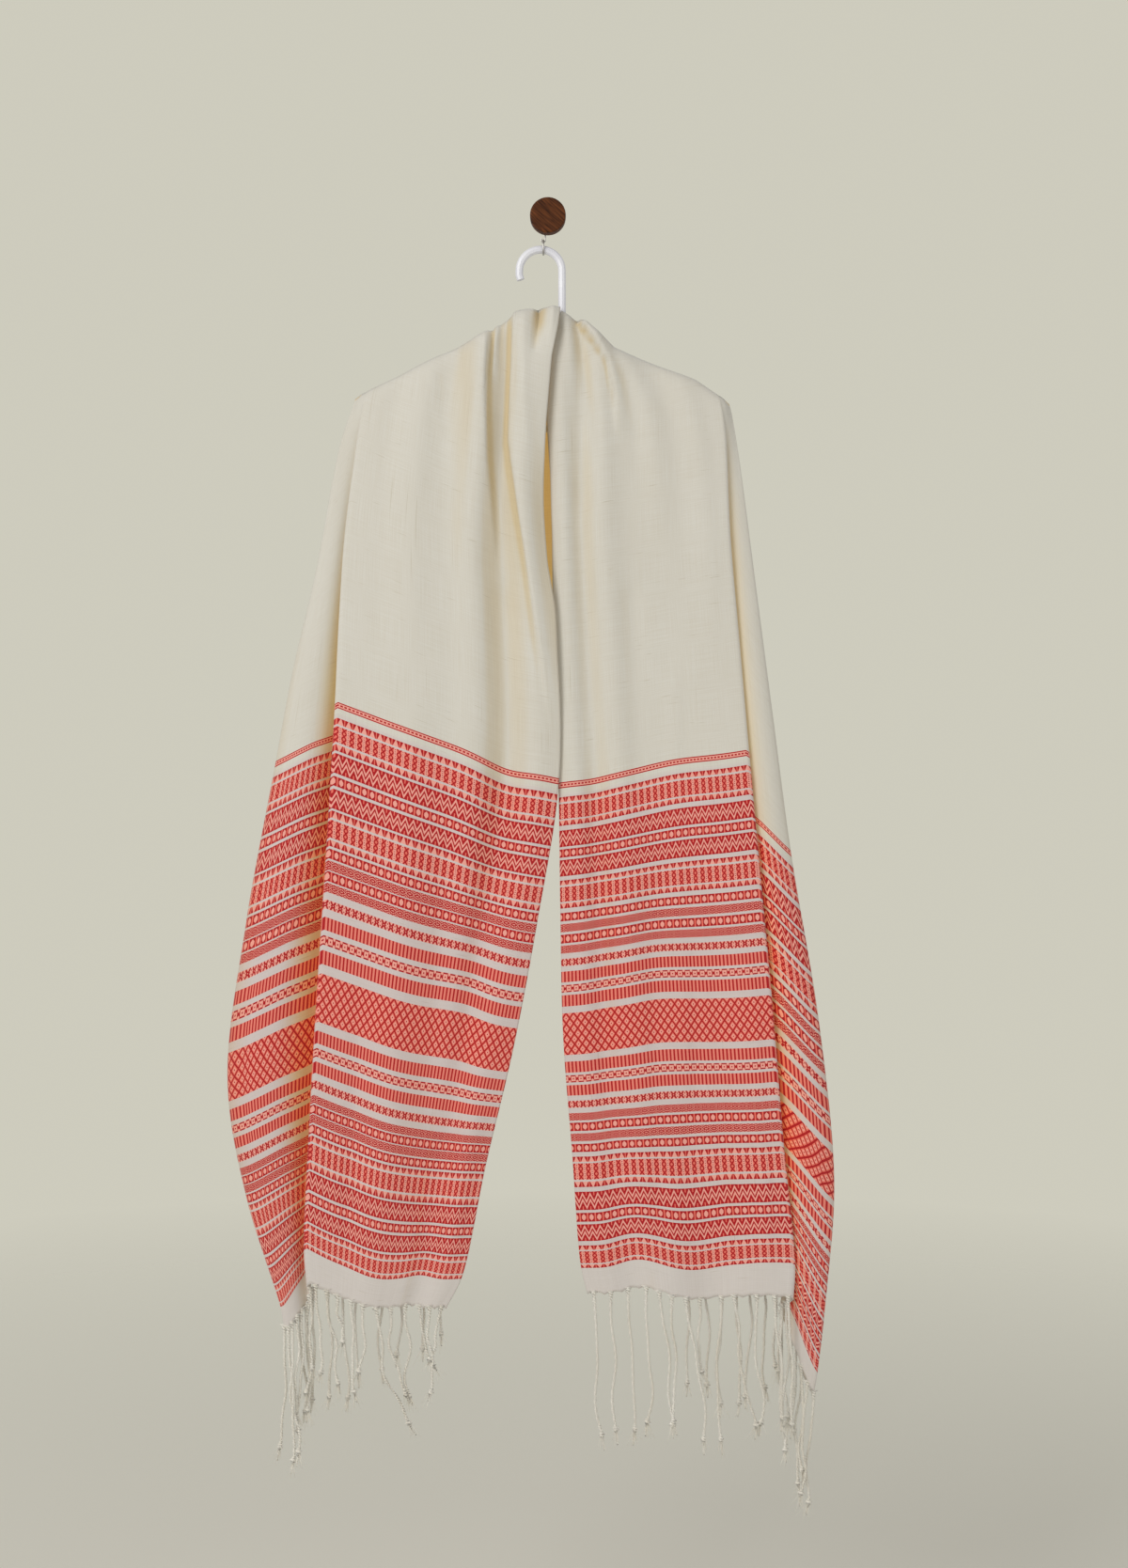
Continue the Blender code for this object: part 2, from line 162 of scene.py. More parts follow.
def weftLine(bend, row, ridges, widths, fall):
    # one weft line from the inner selvedge round to the outer one, and the cloth width at each point
    inner, fold, valley, outer, selvedge = (np.array(point, float) for point in row)
    out = math.copysign(1.0, fold[0])
    turn = cloth["foldRadius"]
    foldFront = fold - (out * turn, 0, 0)
    belowShoulder = min(1.0, fall / cloth["shoulderDrop"])
    drawnBack = 1 + cloth["neckSharpness"] * max(0.0, 1 - fall / cloth["neckDrop"])
    line, across = [], list(widths[0] * frontShares())
    for share in frontShares():
        point = between(inner, foldFront, share)
        point[1] = between(foldFront[1], inner[1], (1 - share) ** drawnBack)
        point[2] = between(inner[2], foldFront[2], share ** bend)
        point[2] += shoulderHump(point[0], (inner[0], foldFront[0])) * (1 - belowShoulder)
        for top, hem, halfWidth, heightTop, heightHem in ridges:
            away = (share - between(top, hem, fall)) / halfWidth
            height = between(heightTop, heightHem, fall)
            grown = cloth["ridgeGrowth"] * fall + cloth["ridgeStart" if height > 0 else "hollowStart"]
            point[1] -= height * min(1.0, max(0.0, grown)) * math.exp(-away * away)
        line.append(point)
    closed, closing = cloth["foldGrowth"]
    for i in range(1, cloth["foldSteps"] + 1):
        step = math.pi * i / cloth["foldSteps"] * min(1.0, closed + closing * fall)
        line.append(foldFront + (out * turn * math.sin(step), turn * (1 - math.cos(step)), -2 * step))
        across.append(widths[0] + cloth["foldWidth"] * i / cloth["foldSteps"])
    swell = belowShoulder * (outer[0] - valley[0]) * out * cloth["sideSwell"]
    crown = between(valley, outer, cloth["crown"]) - (0, swell, 0)
    brow = between(valley, outer, cloth["brow"]) - (0, cloth["browSwell"] * swell, 0)
    inwards, backwards = cloth["outerTurn"]
    back = outer + (-out * inwards * turn, backwards * turn, 0)
    place, sag, drop = cloth["backBelly"]
    belly = between(back, selvedge, place) + (0, sag * belowShoulder, (selvedge[2] - back[2]) * drop)
    sideWidths = (across[-1], widths[1], between(widths[1], widths[2], cloth["crown"]),
                  between(widths[1], widths[2], cloth["brow"]), widths[2], widths[2] + cloth["turnWidth"])
    line.extend(smoothLine([line[-1], valley, crown, brow, outer, back], [cloth["sideSteps"]] * 5)[1:])
    for low, high in zip(sideWidths, sideWidths[1:]):
        across.extend(np.linspace(low, high, cloth["sideSteps"] + 1)[1:])
    line.extend(smoothLine([back, belly, selvedge], [cloth["backSteps"]] * 2)[1:])
    across.extend(np.linspace(sideWidths[-1], widths[3], 2 * cloth["backSteps"] + 1)[1:])
    return line, across


def halfGrid(half):
    # points of a half, rows by columns, and the cloth width and cloth length at each point
    rows = half["rows"]
    top, hem = rows[0][0][2], rows[-1][0][2]
    lines = []
    for bend, row in zip(half["bends"], rows):
        fall = (top - row[0][2]) / (top - hem)  # 0 at the ridge, 1 at the cut end
        lines.append(weftLine(bend, row, half["ridges"], half["widths"], fall))
    columns = np.array([line for line, _ in lines]).transpose(1, 0, 2)
    grid = np.array([smoothLine(column, cloth["rowSteps"]) for column in columns]).transpose(1, 0, 2)
    across = np.tile(np.array(lines[0][1]), (len(grid), 1))
    marks = np.cumsum((0,) + cloth["rowSteps"])
    firstKnown = len(rows) - len(cloth["lineLengths"])
    along = np.empty(grid.shape[:2])
    known = np.interp(np.arange(len(grid)), marks[firstKnown:], cloth["lineLengths"])
    along[:] = known[:, None]
    drops = np.linalg.norm(np.diff(grid, axis=0), axis=2)
    for row in range(marks[firstKnown] - 1, -1, -1):
        along[row] = along[row + 1] - drops[row] * mm
    return grid, across, along


print("weft lines ready")


# Creases: (x, z) points down the cloth, height at the start and at the end, width
# of the left and the right flank. A negative height is a trough.
leftCreases = (
    (((-67, -128), (-69, -144), (-72.6, -172), (-72.6, -222), (-71, -272), (-67, -312), (-62, -360),
      (-58, -420)), 13.0, 0.0, 24, 3.2),
    (((-36.4, -108), (-37.4, -172), (-39.2, -222), (-40.2, -252), (-36.5, -281), (-29, -331), (-21, -380),
      (-12, -445), (-5, -495), (4, -570)), 11.0, 5.0, 3.2, 18),
    (((-10.5, -102), (-11, -116), (-14, -146), (-15, -160)), -13.0, 0.0, 4.2, 4.6),
    (((5, -102), (4, -116), (3, -136)), 7.0, 2.0, 3.4, 5),
    (((-57, -120), (-59, -150), (-58, -196)), 6.0, 0.0, 5, 3.4),
    (((-26, -108), (-28, -150), (-27, -215), (-20, -290)), 3.0, 0.0, 5, 6),
    (((-36, -268), (-41, -276), (-46, -282)), 2.0, 0.0, 3, 3),
    (((-98, -152), (-112, -210), (-118, -300), (-116, -430)), -3.0, 0.0, 14, 10),
    (((-131, -168), (-142, -230), (-150, -330), (-150, -520)), 3.0, 1.0, 16, 12),
    (((-165, -184), (-178, -260), (-186, -380), (-188, -560)), -2.5, 0.0, 14, 12),
    (((-88, -330), (-92, -450), (-90, -620), (-98, -800)), 2.5, 2.5, 16, 18),
    (((-52, -420), (-48, -560), (-56, -720)), -2.5, -2.0, 14, 12),
    (((-150, -560), (-158, -760), (-172, -960), (-190, -1180)), 2.0, 5.0, 22, 18),
    (((-112, -700), (-120, -860), (-132, -1010), (-150, -1200)), -2.0, -5.0, 14, 16),
    (((-58, -780), (-72, -900), (-96, -1060), (-120, -1210)), 2.5, 5.0, 14, 16),
    (((-205, -860), (-214, -1000), (-222, -1180)), -1.5, -5.0, 10, 12),
    (((-128, -180), (-124, -220), (-118, -262)), 1.0, 0.0, 2, 3),
)
rightCreases = (
    (((37, -118), (54, -142), (69.5, -166), (77, -200), (80, -260)), 15.0, 0.0, 3.2, 22),
    (((52, -130), (66, -158), (78, -196), (86, -250)), 3.0, 0.0, 4, 9),
    (((29.6, -112), (42, -169), (52.6, -231), (58, -300)), -6.0, 0.0, 8, 7),
    (((20, -112), (26, -150), (30, -220), (32, -330)), 3.0, 0.0, 6, 7),
    (((60, -138), (84, -180), (97, -240), (102, -330)), -3.0, 0.0, 8, 10),
    (((86, -156), (108, -205), (120, -280), (124, -400)), 3.0, 0.0, 10, 12),
    (((118, -170), (138, -230), (148, -320), (152, -460)), -2.5, 0.0, 12, 12),
    (((150, -182), (168, -250), (178, -350), (184, -520)), 2.5, 0.5, 12, 12),
    (((46, -330), (50, -460), (52, -640)), 2.5, 2.0, 14, 16),
    (((92, -420), (96, -560), (100, -700)), -2.5, -1.5, 14, 14),
    (((140, -520), (146, -700), (152, -900), (156, -1040)), 2.0, 4.0, 14, 10),
    (((72, -680), (76, -860), (84, -1040), (96, -1200)), 2.5, 5.0, 16, 16),
    (((112, -760), (118, -940), (124, -1100), (128, -1200)), -2.0, -4.5, 12, 12),
    (((178, -700), (190, -900), (198, -1060), (204, -1200)), -2.5, -5.0, 12, 14),
    (((222, -800), (232, -960), (240, -1100), (246, -1200)), 1.0, 4.0, 10, 8),
)
# How the inner selvedges run beside the hook: level, sideways, forwards, spread across
leftShifts = ((-100, 8, 9, 0.06), (-125, 6, 9, 0.06), (-160, 1, 7, 0.06), (-230, 0, 4, 0.05),
              (-270, 0, 2, 0.05), (-330, -1, 0, 0.05), (-390, -1, 0, 0.05), (-440, 3, 1, 0.05),
              (-540, 2, 2, 0.05), (-640, 0, 1, 0.05))
rightShifts = ((-100, 0, 0, 0.05), (-140, -4, 0, 0.05), (-220, -4, 0, 0.05), (-290, 0, 0, 0.05),
               (-360, 1, 0, 0.05), (-420, 0, 0, 0.05), (-450, -3, 0, 0.05), (-560, -2, 0, 0.05),
               (-650, 0, 0, 0.05))
# Where the weft lines of a front swing up or down: across, cloth length, spread across, spread
# along, rise
leftSwings = ((0.24, 0.58, 0.13, 0.12, -7.0), (0.30, 0.83, 0.14, 0.09, 5.0), (0.10, 0.98, 0.12, 0.10, 3.0),
              (0.55, 1.12, 0.14, 0.05, -3.0), (0.28, 1.12, 0.10, 0.05, 3.5))
rightSwings = ((0.62, 0.58, 0.20, 0.12, 3.5), (0.18, 0.58, 0.12, 0.10, -2.0), (0.46, 0.84, 0.22, 0.12, 6.5),
               (0.28, 1.12, 0.12, 0.10, 8.0), (0.56, 1.12, 0.13, 0.10, -6.0), (0.88, 1.12, 0.10, 0.08, 2.0))

creasing = {
    "easeIn": (-0.06, 0.10),  # share of its length where a crease starts, and its growth
    "easeOut": (1.04, 0.28),
    "sharp": 3.5,  # a fold with one flank narrower than this and the other wider than broad leans over
    "broad": 8,
    "lean": 0.30,  # sideways, as a share of its height
    "leanRows": 9.0,  # mesh rows below the ridge over which the lean grows
    "ridgeRise": 0.25,  # how far a fold lifts the ridge, as a share of its height
    "riseRows": 6.0,
}


def pressCrease(grid, columns, crease):
    path, start, end, leftFlank, rightFlank = crease
    path = np.array(path, float)
    x, z = grid[:, columns, 0], grid[:, columns, 2]
    lineX = np.interp(-z, -path[:, 1], path[:, 0])
    down = np.clip((path[0, 1] - z) / (path[0, 1] - path[-1, 1]), -0.2, 1.2)
    first, growth = creasing["easeIn"]
    last, fade = creasing["easeOut"]
    ease = np.clip((down - first) / growth, 0, 1) * np.clip((last - down) / fade, 0, 1)
    away = x - lineX
    flank = np.where(away < 0, leftFlank, rightFlank)
    height = (start + (end - start) * down) * ease * ease * (3 - 2 * ease) * np.exp(-(away / flank) ** 2)
    grid[:, columns, 1] -= height
    rows = np.arange(len(grid))[:, None]
    if min(leftFlank, rightFlank) < creasing["sharp"] and max(leftFlank, rightFlank) > creasing["broad"]:
        lean = creasing["lean"] * (1 - np.exp(-(rows / creasing["leanRows"]) ** 2))
        grid[:, columns, 0] += lean * height * math.copysign(1.0, leftFlank - rightFlank)
    grid[:, columns, 2] += creasing["ridgeRise"] * height * np.exp(-rows / creasing["riseRows"])


def shiftSelvedge(grid, share, shifts):
    # moves the inner selvedge: rows of z, sideways, forwards, spread across
    level, sideways, forwards, spread = np.array(shifts, float).T
    z = -grid[:, :1, 2]
    width = np.interp(z, -level, spread)
    weight = np.exp(-(share / width) ** 2)
    grid[:, :share.shape[1], 0] += np.interp(z, -level, sideways) * weight
    grid[:, :share.shape[1], 1] -= np.interp(z, -level, forwards) * weight


def dressHalf(half, creases, swings, shifts):
    grid, across, along = halfGrid(half)
    front = slice(0, cloth["frontColumns"])
    share = across[:, front] / half["widths"][0]
    for place, length, spread, spreadAlong, rise in swings:
        grid[:, front, 2] += rise * np.exp(-((share - place) / spread) ** 2
                                           - ((along[:, front] - length) / spreadAlong) ** 2)
    shiftSelvedge(grid, share, shifts)
    for crease in creases:
        pressCrease(grid, front, crease)
    liftHem(grid, across, half)
    return {"grid": grid, "across": across, "along": along, **half}


def liftHem(grid, across, half):
    # past the outer turn the hem climbs behind the front, so little of it shows below
    place, spread, rise, start = half["hemLift"]
    rows = np.linspace(0, 1, len(grid))[:, None]
    grow = np.clip((rows - start) / (1 - start), 0, 1) ** 1.5
    grid[:, :, 2] += rise * grow * np.exp(-((across - place) / spread) ** 2)


left = dressHalf(leftHalf, leftCreases, leftSwings, leftShifts)
right = dressHalf(rightHalf, rightCreases, rightSwings, rightShifts)
print("creases pressed")


# the middle of the shawl, a swag across the back of the hanger
swag = {
    "dip": 172,
    "lowestDepth": -12.0,
    "folds": 3,
    "foldHeight": 6.5,
    "foldSlope": 0.035,  # how far the folds wander up and down across the back
    "rollover": ((0, -24.6), (1.5, -21.0), (5, -19.2), (10, -18.4), (400, -18.0)),  # drop, depth
    "tipReach": 0.08,  # share of the width that follows the wrapped tips
    "shaft": (16, 15, -19.5),  # the hook's shaft: where, half width kept clear, depth of its back
    "acrossCloth": (0.25, 0.62),  # cloth width at the ridge and at the free edge, in metres
    "alongCloth": 0.24,  # half of its length, in metres
    "inside": (0.12, 0.15),  # share down where the light through the cloth starts, and its growth
}


def swagGrid():
    # a patch between the two shoulders' ridge lines, both wrapped tips and the free lower edge
    turn = cloth["frontColumns"] + cloth["foldSteps"] - 1
    top = np.concatenate([left["grid"][0, turn::-1], right["grid"][0, :turn + 1]])
    leftEdge, rightEdge = left["grid"][0, turn:], right["grid"][0, turn:]
    count = len(leftEdge)
    u = (top[:, 0] - top[0, 0]) / (top[-1, 0] - top[0, 0])
    steps = np.linalg.norm(np.diff(leftEdge, axis=0), axis=1)
    v = np.concatenate([[0], np.cumsum(steps)]) / steps.sum()
    bottom = leftEdge[-1] + np.outer(u, rightEdge[-1] - leftEdge[-1])
    bottom[:, 2] -= swag["dip"] * np.sin(np.pi * u) ** 0.8
    bottom[:, 1] += (swag["lowestDepth"] - bottom[:, 1]) * np.sin(np.pi * u) ** 0.5
    nearTips = np.maximum(np.exp(-u / swag["tipReach"]), np.exp(-(1 - u) / swag["tipReach"]))[:, None]
    inside = np.clip(12 * np.minimum(u, 1 - u), 0, 1)
    shaft, clear, shaftDepth = swag["shaft"]
    grid = np.empty((count, len(top), 3))
    for row in range(count):
        f = v[row]
        sides = (np.outer(1 - u, leftEdge[row] - top[0] * (1 - f) - bottom[0] * f)
                 + np.outer(u, rightEdge[row] - top[-1] * (1 - f) - bottom[-1] * f))
        line = between(top, bottom, f) + sides * nearTips
        drop = top[:, 2] - line[:, 2]
        rolled = np.maximum(line[:, 1], np.interp(drop, *zip(*swag["rollover"])))
        phase = swag["folds"] * (f ** 0.8 + swag["foldSlope"] * np.sin(2 * np.pi * u + 0.6))
        wave = swag["foldHeight"] * np.sin(np.pi * u) * np.sin(2 * np.pi * phase) * min(1.0, 1.6 * f)
        line[:, 1] += (rolled - line[:, 1]) * inside + wave
        nearShaft = np.exp(-((line[:, 0] - shaft) / clear) ** 4)
        line[:, 1] += nearShaft * np.maximum(0, shaftDepth - line[:, 1])
        grid[row] = line
    grid[0] = np.where(np.abs(top[:, :1] - shaft) < 9, grid[0], top)
    across = np.tile(np.interp(v, (0, 1), swag["acrossCloth"])[:, None], (1, len(top)))
    along = np.tile(np.linspace(-swag["alongCloth"], swag["alongCloth"], len(top)), (count, 1))
    return grid, across, along


def gridFaces(start, rows, columns, flip=False):
    faces = []
    for row in range(rows - 1):
        for column in range(columns - 1):
            a = start + row * columns + column
            face = (a, a + columns, a + columns + 1, a + 1)
            faces.append(face[::-1] if flip else face)
    return faces


def makeMesh(name, points, faces, material, uv=None, marks=None):
    mesh = bpy.data.meshes.new(name)
    mesh.from_pydata((np.asarray(points) * mm).tolist(), [], faces)
    if uv is not None:
        corners = np.empty(len(mesh.loops), int)
        mesh.loops.foreach_get("vertex_index", corners)
        layer = mesh.uv_layers.new(name="cloth")
        layer.data.foreach_set("uv", np.asarray(uv, np.float32)[corners].ravel())
    if marks is not None:
        for label, values in marks.items():
            attribute = mesh.attributes.new(label, "FLOAT", "POINT")
            attribute.data.foreach_set("value", np.asarray(values, np.float32))
    mesh.validate()
    mesh.shade_smooth()
    mesh.materials.append(material)
    piece = bpy.data.objects.new(name, mesh)
    bpy.context.scene.collection.objects.link(piece)
    return piece


def weldSeams(piece, distance):
    work = bmesh.new()
    work.from_mesh(piece.data)
    bmesh.ops.remove_doubles(work, verts=work.verts, dist=distance * mm)
    bmesh.ops.recalc_face_normals(work, faces=work.faces)
    work.to_mesh(piece.data)
    work.free()


def applyModifier(piece, kind, **settings):
    bpy.ops.object.select_all(action="DESELECT")
    piece.select_set(True)
    bpy.context.view_layer.objects.active = piece
    modifier = piece.modifiers.new(kind.title(), kind)
    for name, value in settings.items():
        setattr(modifier, name, value)
    bpy.ops.object.modifier_apply(modifier=modifier.name)


# small helpers that all the materials share
def calc(tree, operation, *values):
    node = tree.nodes.new("ShaderNodeMath")
    node.operation = operation
    for socket, value in zip(node.inputs, values):
        if isinstance(value, (int, float)):
            socket.default_value = value
        else:
            tree.links.new(value, socket)
    return node.outputs[0]


def total(tree, values):
    result = values[0]
    for value in values[1:]:
        result = calc(tree, "ADD", result, value)
    return result


def blendColour(tree, factor, first, second, mode="MIX"):
    node = tree.nodes.new("ShaderNodeMix")
    node.data_type = "RGBA"
    node.blend_type = mode
    for socket, value in zip((node.inputs[0], node.inputs[6], node.inputs[7]), (factor, first, second)):
        if isinstance(value, (int, float)):
            socket.default_value = value
        elif isinstance(value, tuple):
            socket.default_value = (*value, 1.0)
        else:
            tree.links.new(value, socket)
    return node.outputs[2]


def makeGroup(name, inputs, outputs):
    group = bpy.data.node_groups.new(name, "ShaderNodeTree")
    for label, kind, value in inputs:
        socket = group.interface.new_socket(label, in_out="INPUT", socket_type=kind)
        if value is not None:
            socket.default_value = value
    for label, kind in outputs:
        group.interface.new_socket(label, in_out="OUTPUT", socket_type=kind)
    return group, group.nodes.new("NodeGroupInput"), group.nodes.new("NodeGroupOutput")


def noise(tree, vector, scale, detail=2.0, roughness=0.5):
    node = tree.nodes.new("ShaderNodeTexNoise")
    node.inputs["Scale"].default_value = scale
    node.inputs["Detail"].default_value = detail
    node.inputs["Roughness"].default_value = roughness
    tree.links.new(vector, node.inputs["Vector"])
    return node.outputs["Fac"]


def stretched(tree, vector, x, y, z=1.0):
    node = tree.nodes.new("ShaderNodeMapping")
    node.inputs["Scale"].default_value = (x, y, z)
    tree.links.new(vector, node.inputs["Vector"])
    return node.outputs[0]


def ramp(tree, value, low, high):
    node = tree.nodes.new("ShaderNodeMapRange")
    node.inputs["From Min"].default_value = low
    node.inputs["From Max"].default_value = high
    tree.links.new(value, node.inputs["Value"])
    return node.outputs[0]


# The woven band, as distances from its middle along the cloth in mm. The two ends of the shawl were
# woven with slightly different spacing.
band = {
    "centre": 856.0,
    "pitch": 4.4,  # half a motif
    "height": {"lattice": 22.4, "bars": 12.6, "rings": 8.4, "stars": 8.0, "braid": 8.4, "cells": 9.2,
               "closing": 5.6, "chains": 16.2, "opening": 5.6, "zigzag": 17.7},  # as the motifs are drawn
    "left": {
        "lattice": ((0, 24.0),),
        "bars": ((33.0, 46.2), (65.2, 77.4)),
        "rings": ((51.2, 60.2),),
        "stars": ((85.0, 93.6),),
        "braid": ((100.6, 109.2), (121.0, 130.0)),
        "cells": ((110.6, 120.0), (131.8, 141.0), (198.6, 207.4)),
        "closing": ((143.4, 149.2), (231.0, 237.0)),
        "chains": ((151.2, 167.6), (239.0, 254.6)),
        "opening": ((169.6, 176.0), (256.6, 263.0)),
        "zigzag": ((178.0, 195.8), (210.2, 228.6)),
    },
    "right": {
        "lattice": ((0, 23.4),),
        "bars": ((30.8, 43.4), (57.6, 69.5)),
        "rings": ((46.4, 54.6),),
        "stars": ((75.4, 83.4),),
        "braid": ((89.4, 98.0), (112.8, 121.7)),
        "cells": ((100.4, 110.0), (124.8, 134.0), (196.2, 205.4)),
        "closing": ((139.0, 144.6), (231.8, 237.4)),
        "chains": ((146.2, 163.0), (239.0, 255.8)),
        "opening": ((165.0, 170.4), (257.8, 263.3)),
        "zigzag": ((175.0, 193.4), (208.1, 226.6)),
    },
}


def makeBandGroup():
    # woven band: a mask of the crimson motif, of the pink ground, and of its paler parts
    group, given, result = makeGroup("wovenBand",
                                     (("Across", "NodeSocketFloat", 0.0), ("Along", "NodeSocketFloat", 0.0)),
                                     (("Motif", "NodeSocketFloat"), ("Ground", "NodeSocketFloat"),
                                      ("Pale", "NodeSocketFloat")))

    def c(operation, *values):
        return calc(group, operation, *values)

    def within(value, low, high):
        return c("COMPARE", value, (low + high) / 2, (high - low) / 2)

    def nearTo(value, target, width):
        return c("COMPARE", value, target, width)

    across = c("MULTIPLY", given.outputs["Across"], 1000.0)
    length = c("MULTIPLY", c("ABSOLUTE", given.outputs["Along"]), 1000.0)
    away = c("ABSOLUTE", c("SUBTRACT", length, band["centre"]))
    onLeft = c("LESS_THAN", given.outputs["Along"], 0.0)
    ends = {"left": onLeft, "right": c("SUBTRACT", 1.0, onLeft)}
    pitch = band["pitch"]
    side = c("PINGPONG", across, pitch)  # 0 at a motif's middle, the pitch between motifs

    def strip(kind):
        # a mask of the strips of this kind, and the rise through a strip, from 0 to its height
        masks, rises = [], []
        for end, here in ends.items():
            for low, high in band[end][kind]:
                masks.append(c("MULTIPLY", within(away, low, high), here))
                scale = band["height"][kind] / (high - low)
                rises.append(c("MULTIPLY", c("MULTIPLY", c("SUBTRACT", away, low), scale), masks[-1]))
        return total(group, masks), total(group, rises)

    motifs, grounds, pales = [], [], []

    def lay(inside, motif, pale):
        # crimson where motif is 1, pale pink where pale is, and pink over the rest of the strip
        grounds.append(inside)
        motifs.append(c("MULTIPLY", inside, motif))
        pales.append(c("MULTIPLY", inside, pale))

    def fromMiddle(rise, kind):
        return c("ABSOLUTE", c("SUBTRACT", rise, band["height"][kind] / 2))

    # the lattice: crossed lines with a dot in each diamond
    inside, rise = strip("lattice")
    upright = c("DIVIDE", c("PINGPONG", rise, 5.6), 5.6)
    fromCell = c("ABSOLUTE", c("SUBTRACT", c("ADD", c("DIVIDE", side, pitch), upright), 1.0))
    lines = c("LESS_THAN", fromCell, 0.22)
    dots = c("GREATER_THAN", fromCell, 0.84)
    lay(inside, c("MAXIMUM", lines, dots), nearTo(fromCell, 0.64, 0.15))

    # upright bars, two to a motif's width
    inside, _ = strip("bars")
    lay(inside, c("LESS_THAN", c("PINGPONG", across, pitch / 2), 0.98), 0.25)

    # light rings with a dark heart, and light corners between them
    inside, rise = strip("rings")
    up = fromMiddle(rise, "rings")
    reach = c("MAXIMUM", side, c("MULTIPLY", up, 0.95))
    ring = c("MULTIPLY", c("LESS_THAN", reach, 2.6), c("GREATER_THAN", reach, 0.7))
    slanting = c("SUBTRACT", up, c("SUBTRACT", pitch, side))
    gap = c("MULTIPLY", c("GREATER_THAN", side, 3.0), c("GREATER_THAN", slanting, 1.1))
    light = c("MAXIMUM", ring, gap)
    lay(inside, c("SUBTRACT", 1.0, light), light)

    # crimson stars with a spot on both sides of the gap, on pale pink
    inside, rise = strip("stars")
    up = fromMiddle(rise, "stars")
    diagonal = c("SUBTRACT", side, c("MULTIPLY", up, 0.75))
    limbs = c("MULTIPLY", nearTo(diagonal, 0.1, 1.25), c("LESS_THAN", side, 3.3))
    arms = c("MULTIPLY", nearTo(side, 1.6, 1.1), c("LESS_THAN", up, 0.6))
    spots = c("MULTIPLY", c("GREATER_THAN", side, 3.8), nearTo(up, 1.7, 0.6))
    star = c("MULTIPLY", total(group, [limbs, arms]), c("GREATER_THAN", c("ADD", side, up), 0.7))
    lay(inside, c("MINIMUM", c("ADD", star, spots), 1.0), 1.0)

    # the braid: rows of short light stitches that bow round each motif
    inside, rise = strip("braid")
    up = fromMiddle(rise, "braid")
    bow = c("ADD", up, c("MULTIPLY", c("POWER", c("DIVIDE", side, pitch), 2.0), 1.9))
    stitch = c("GREATER_THAN", c("PINGPONG", c("ADD", side, bow), 1.1), 0.35)
    gaps = c("MULTIPLY", c("LESS_THAN", c("PINGPONG", bow, 1.05), 0.5), stitch)
    lay(inside, c("SUBTRACT", 1.0, gaps), gaps)

    # pale cells with cut corners, in a crimson net
    inside, rise = strip("cells")
    up = fromMiddle(rise, "cells")
    corner = c("MULTIPLY", c("ADD", side, up), 0.66)
    cell = c("LESS_THAN", c("MAXIMUM", c("MAXIMUM", side, c("MULTIPLY", up, 0.72)), corner), 2.35)
    lay(inside, c("SUBTRACT", 1.0, c("MAXIMUM", cell, c("GREATER_THAN", side, 3.65))), cell)

    # split wedges: opening ones widen away from the band's middle, closing ones narrow
    for kind in ("opening", "closing"):
        inside, rise = strip(kind)
        grow = c("DIVIDE", rise, band["height"][kind])
        if kind == "closing":
            grow = c("SUBTRACT", 1.0, grow)
        spread = c("ADD", c("MULTIPLY", grow, 2.9), 1.1)
        wedge = c("MULTIPLY", c("LESS_THAN", side, spread), c("GREATER_THAN", side, 0.5))
        lay(inside, wedge, c("GREATER_THAN", side, spread))

    # three links above each other, with columns of small spots between the chains
    inside, rise = strip("chains")
    link = c("PINGPONG", c("SUBTRACT", rise, 2.7), 2.7)
    linked = nearTo(c("SUBTRACT", side, c("MULTIPLY", link, 0.95)), 0.0, 1.0)
    chain = c("MULTIPLY", linked, c("LESS_THAN", side, 2.9))
    spots = c("MULTIPLY", c("GREATER_THAN", side, 3.9), c("LESS_THAN", c("PINGPONG", rise, 1.05), 0.5))
    lay(inside, c("MAXIMUM", chain, spots), c("GREATER_THAN", side, 2.9))

    # two light zigzag lines with a dark one between, and split triangles above and below
    inside, rise = strip("zigzag")
    chevron = c("SUBTRACT", rise, c("MULTIPLY", side, 1.75))
    light = c("ADD", nearTo(chevron, 2.1, 1.5), nearTo(chevron, 7.9, 1.5))
    splits = c("ADD", c("MULTIPLY", c("GREATER_THAN", side, 3.8), c("LESS_THAN", rise, 3.6)),
               c("MULTIPLY", c("LESS_THAN", side, 0.6), c("GREATER_THAN", rise, 14.1)))
    lay(inside, c("SUBTRACT", 1.0, c("MAXIMUM", light, splits)), light)

    # the double line on the neck side: two thin lines with dashes between them
    inside = c("MULTIPLY", c("LESS_THAN", length, band["centre"]), within(away, 272.9, 279.7))
    rim = c("MAXIMUM", nearTo(away, 273.6, 0.6), nearTo(away, 279.0, 0.6))
    dash = c("MULTIPLY", nearTo(away, 276.3, 0.9), c("LESS_THAN", c("PINGPONG", across, 2.2), 1.4))
    lay(inside, c("MAXIMUM", rim, dash), 1.0)

    for label, values in (("Motif", motifs), ("Ground", grounds), ("Pale", pales)):
        group.links.new(calc(group, "MINIMUM", total(group, values), 1.0), result.inputs[label])
    return group


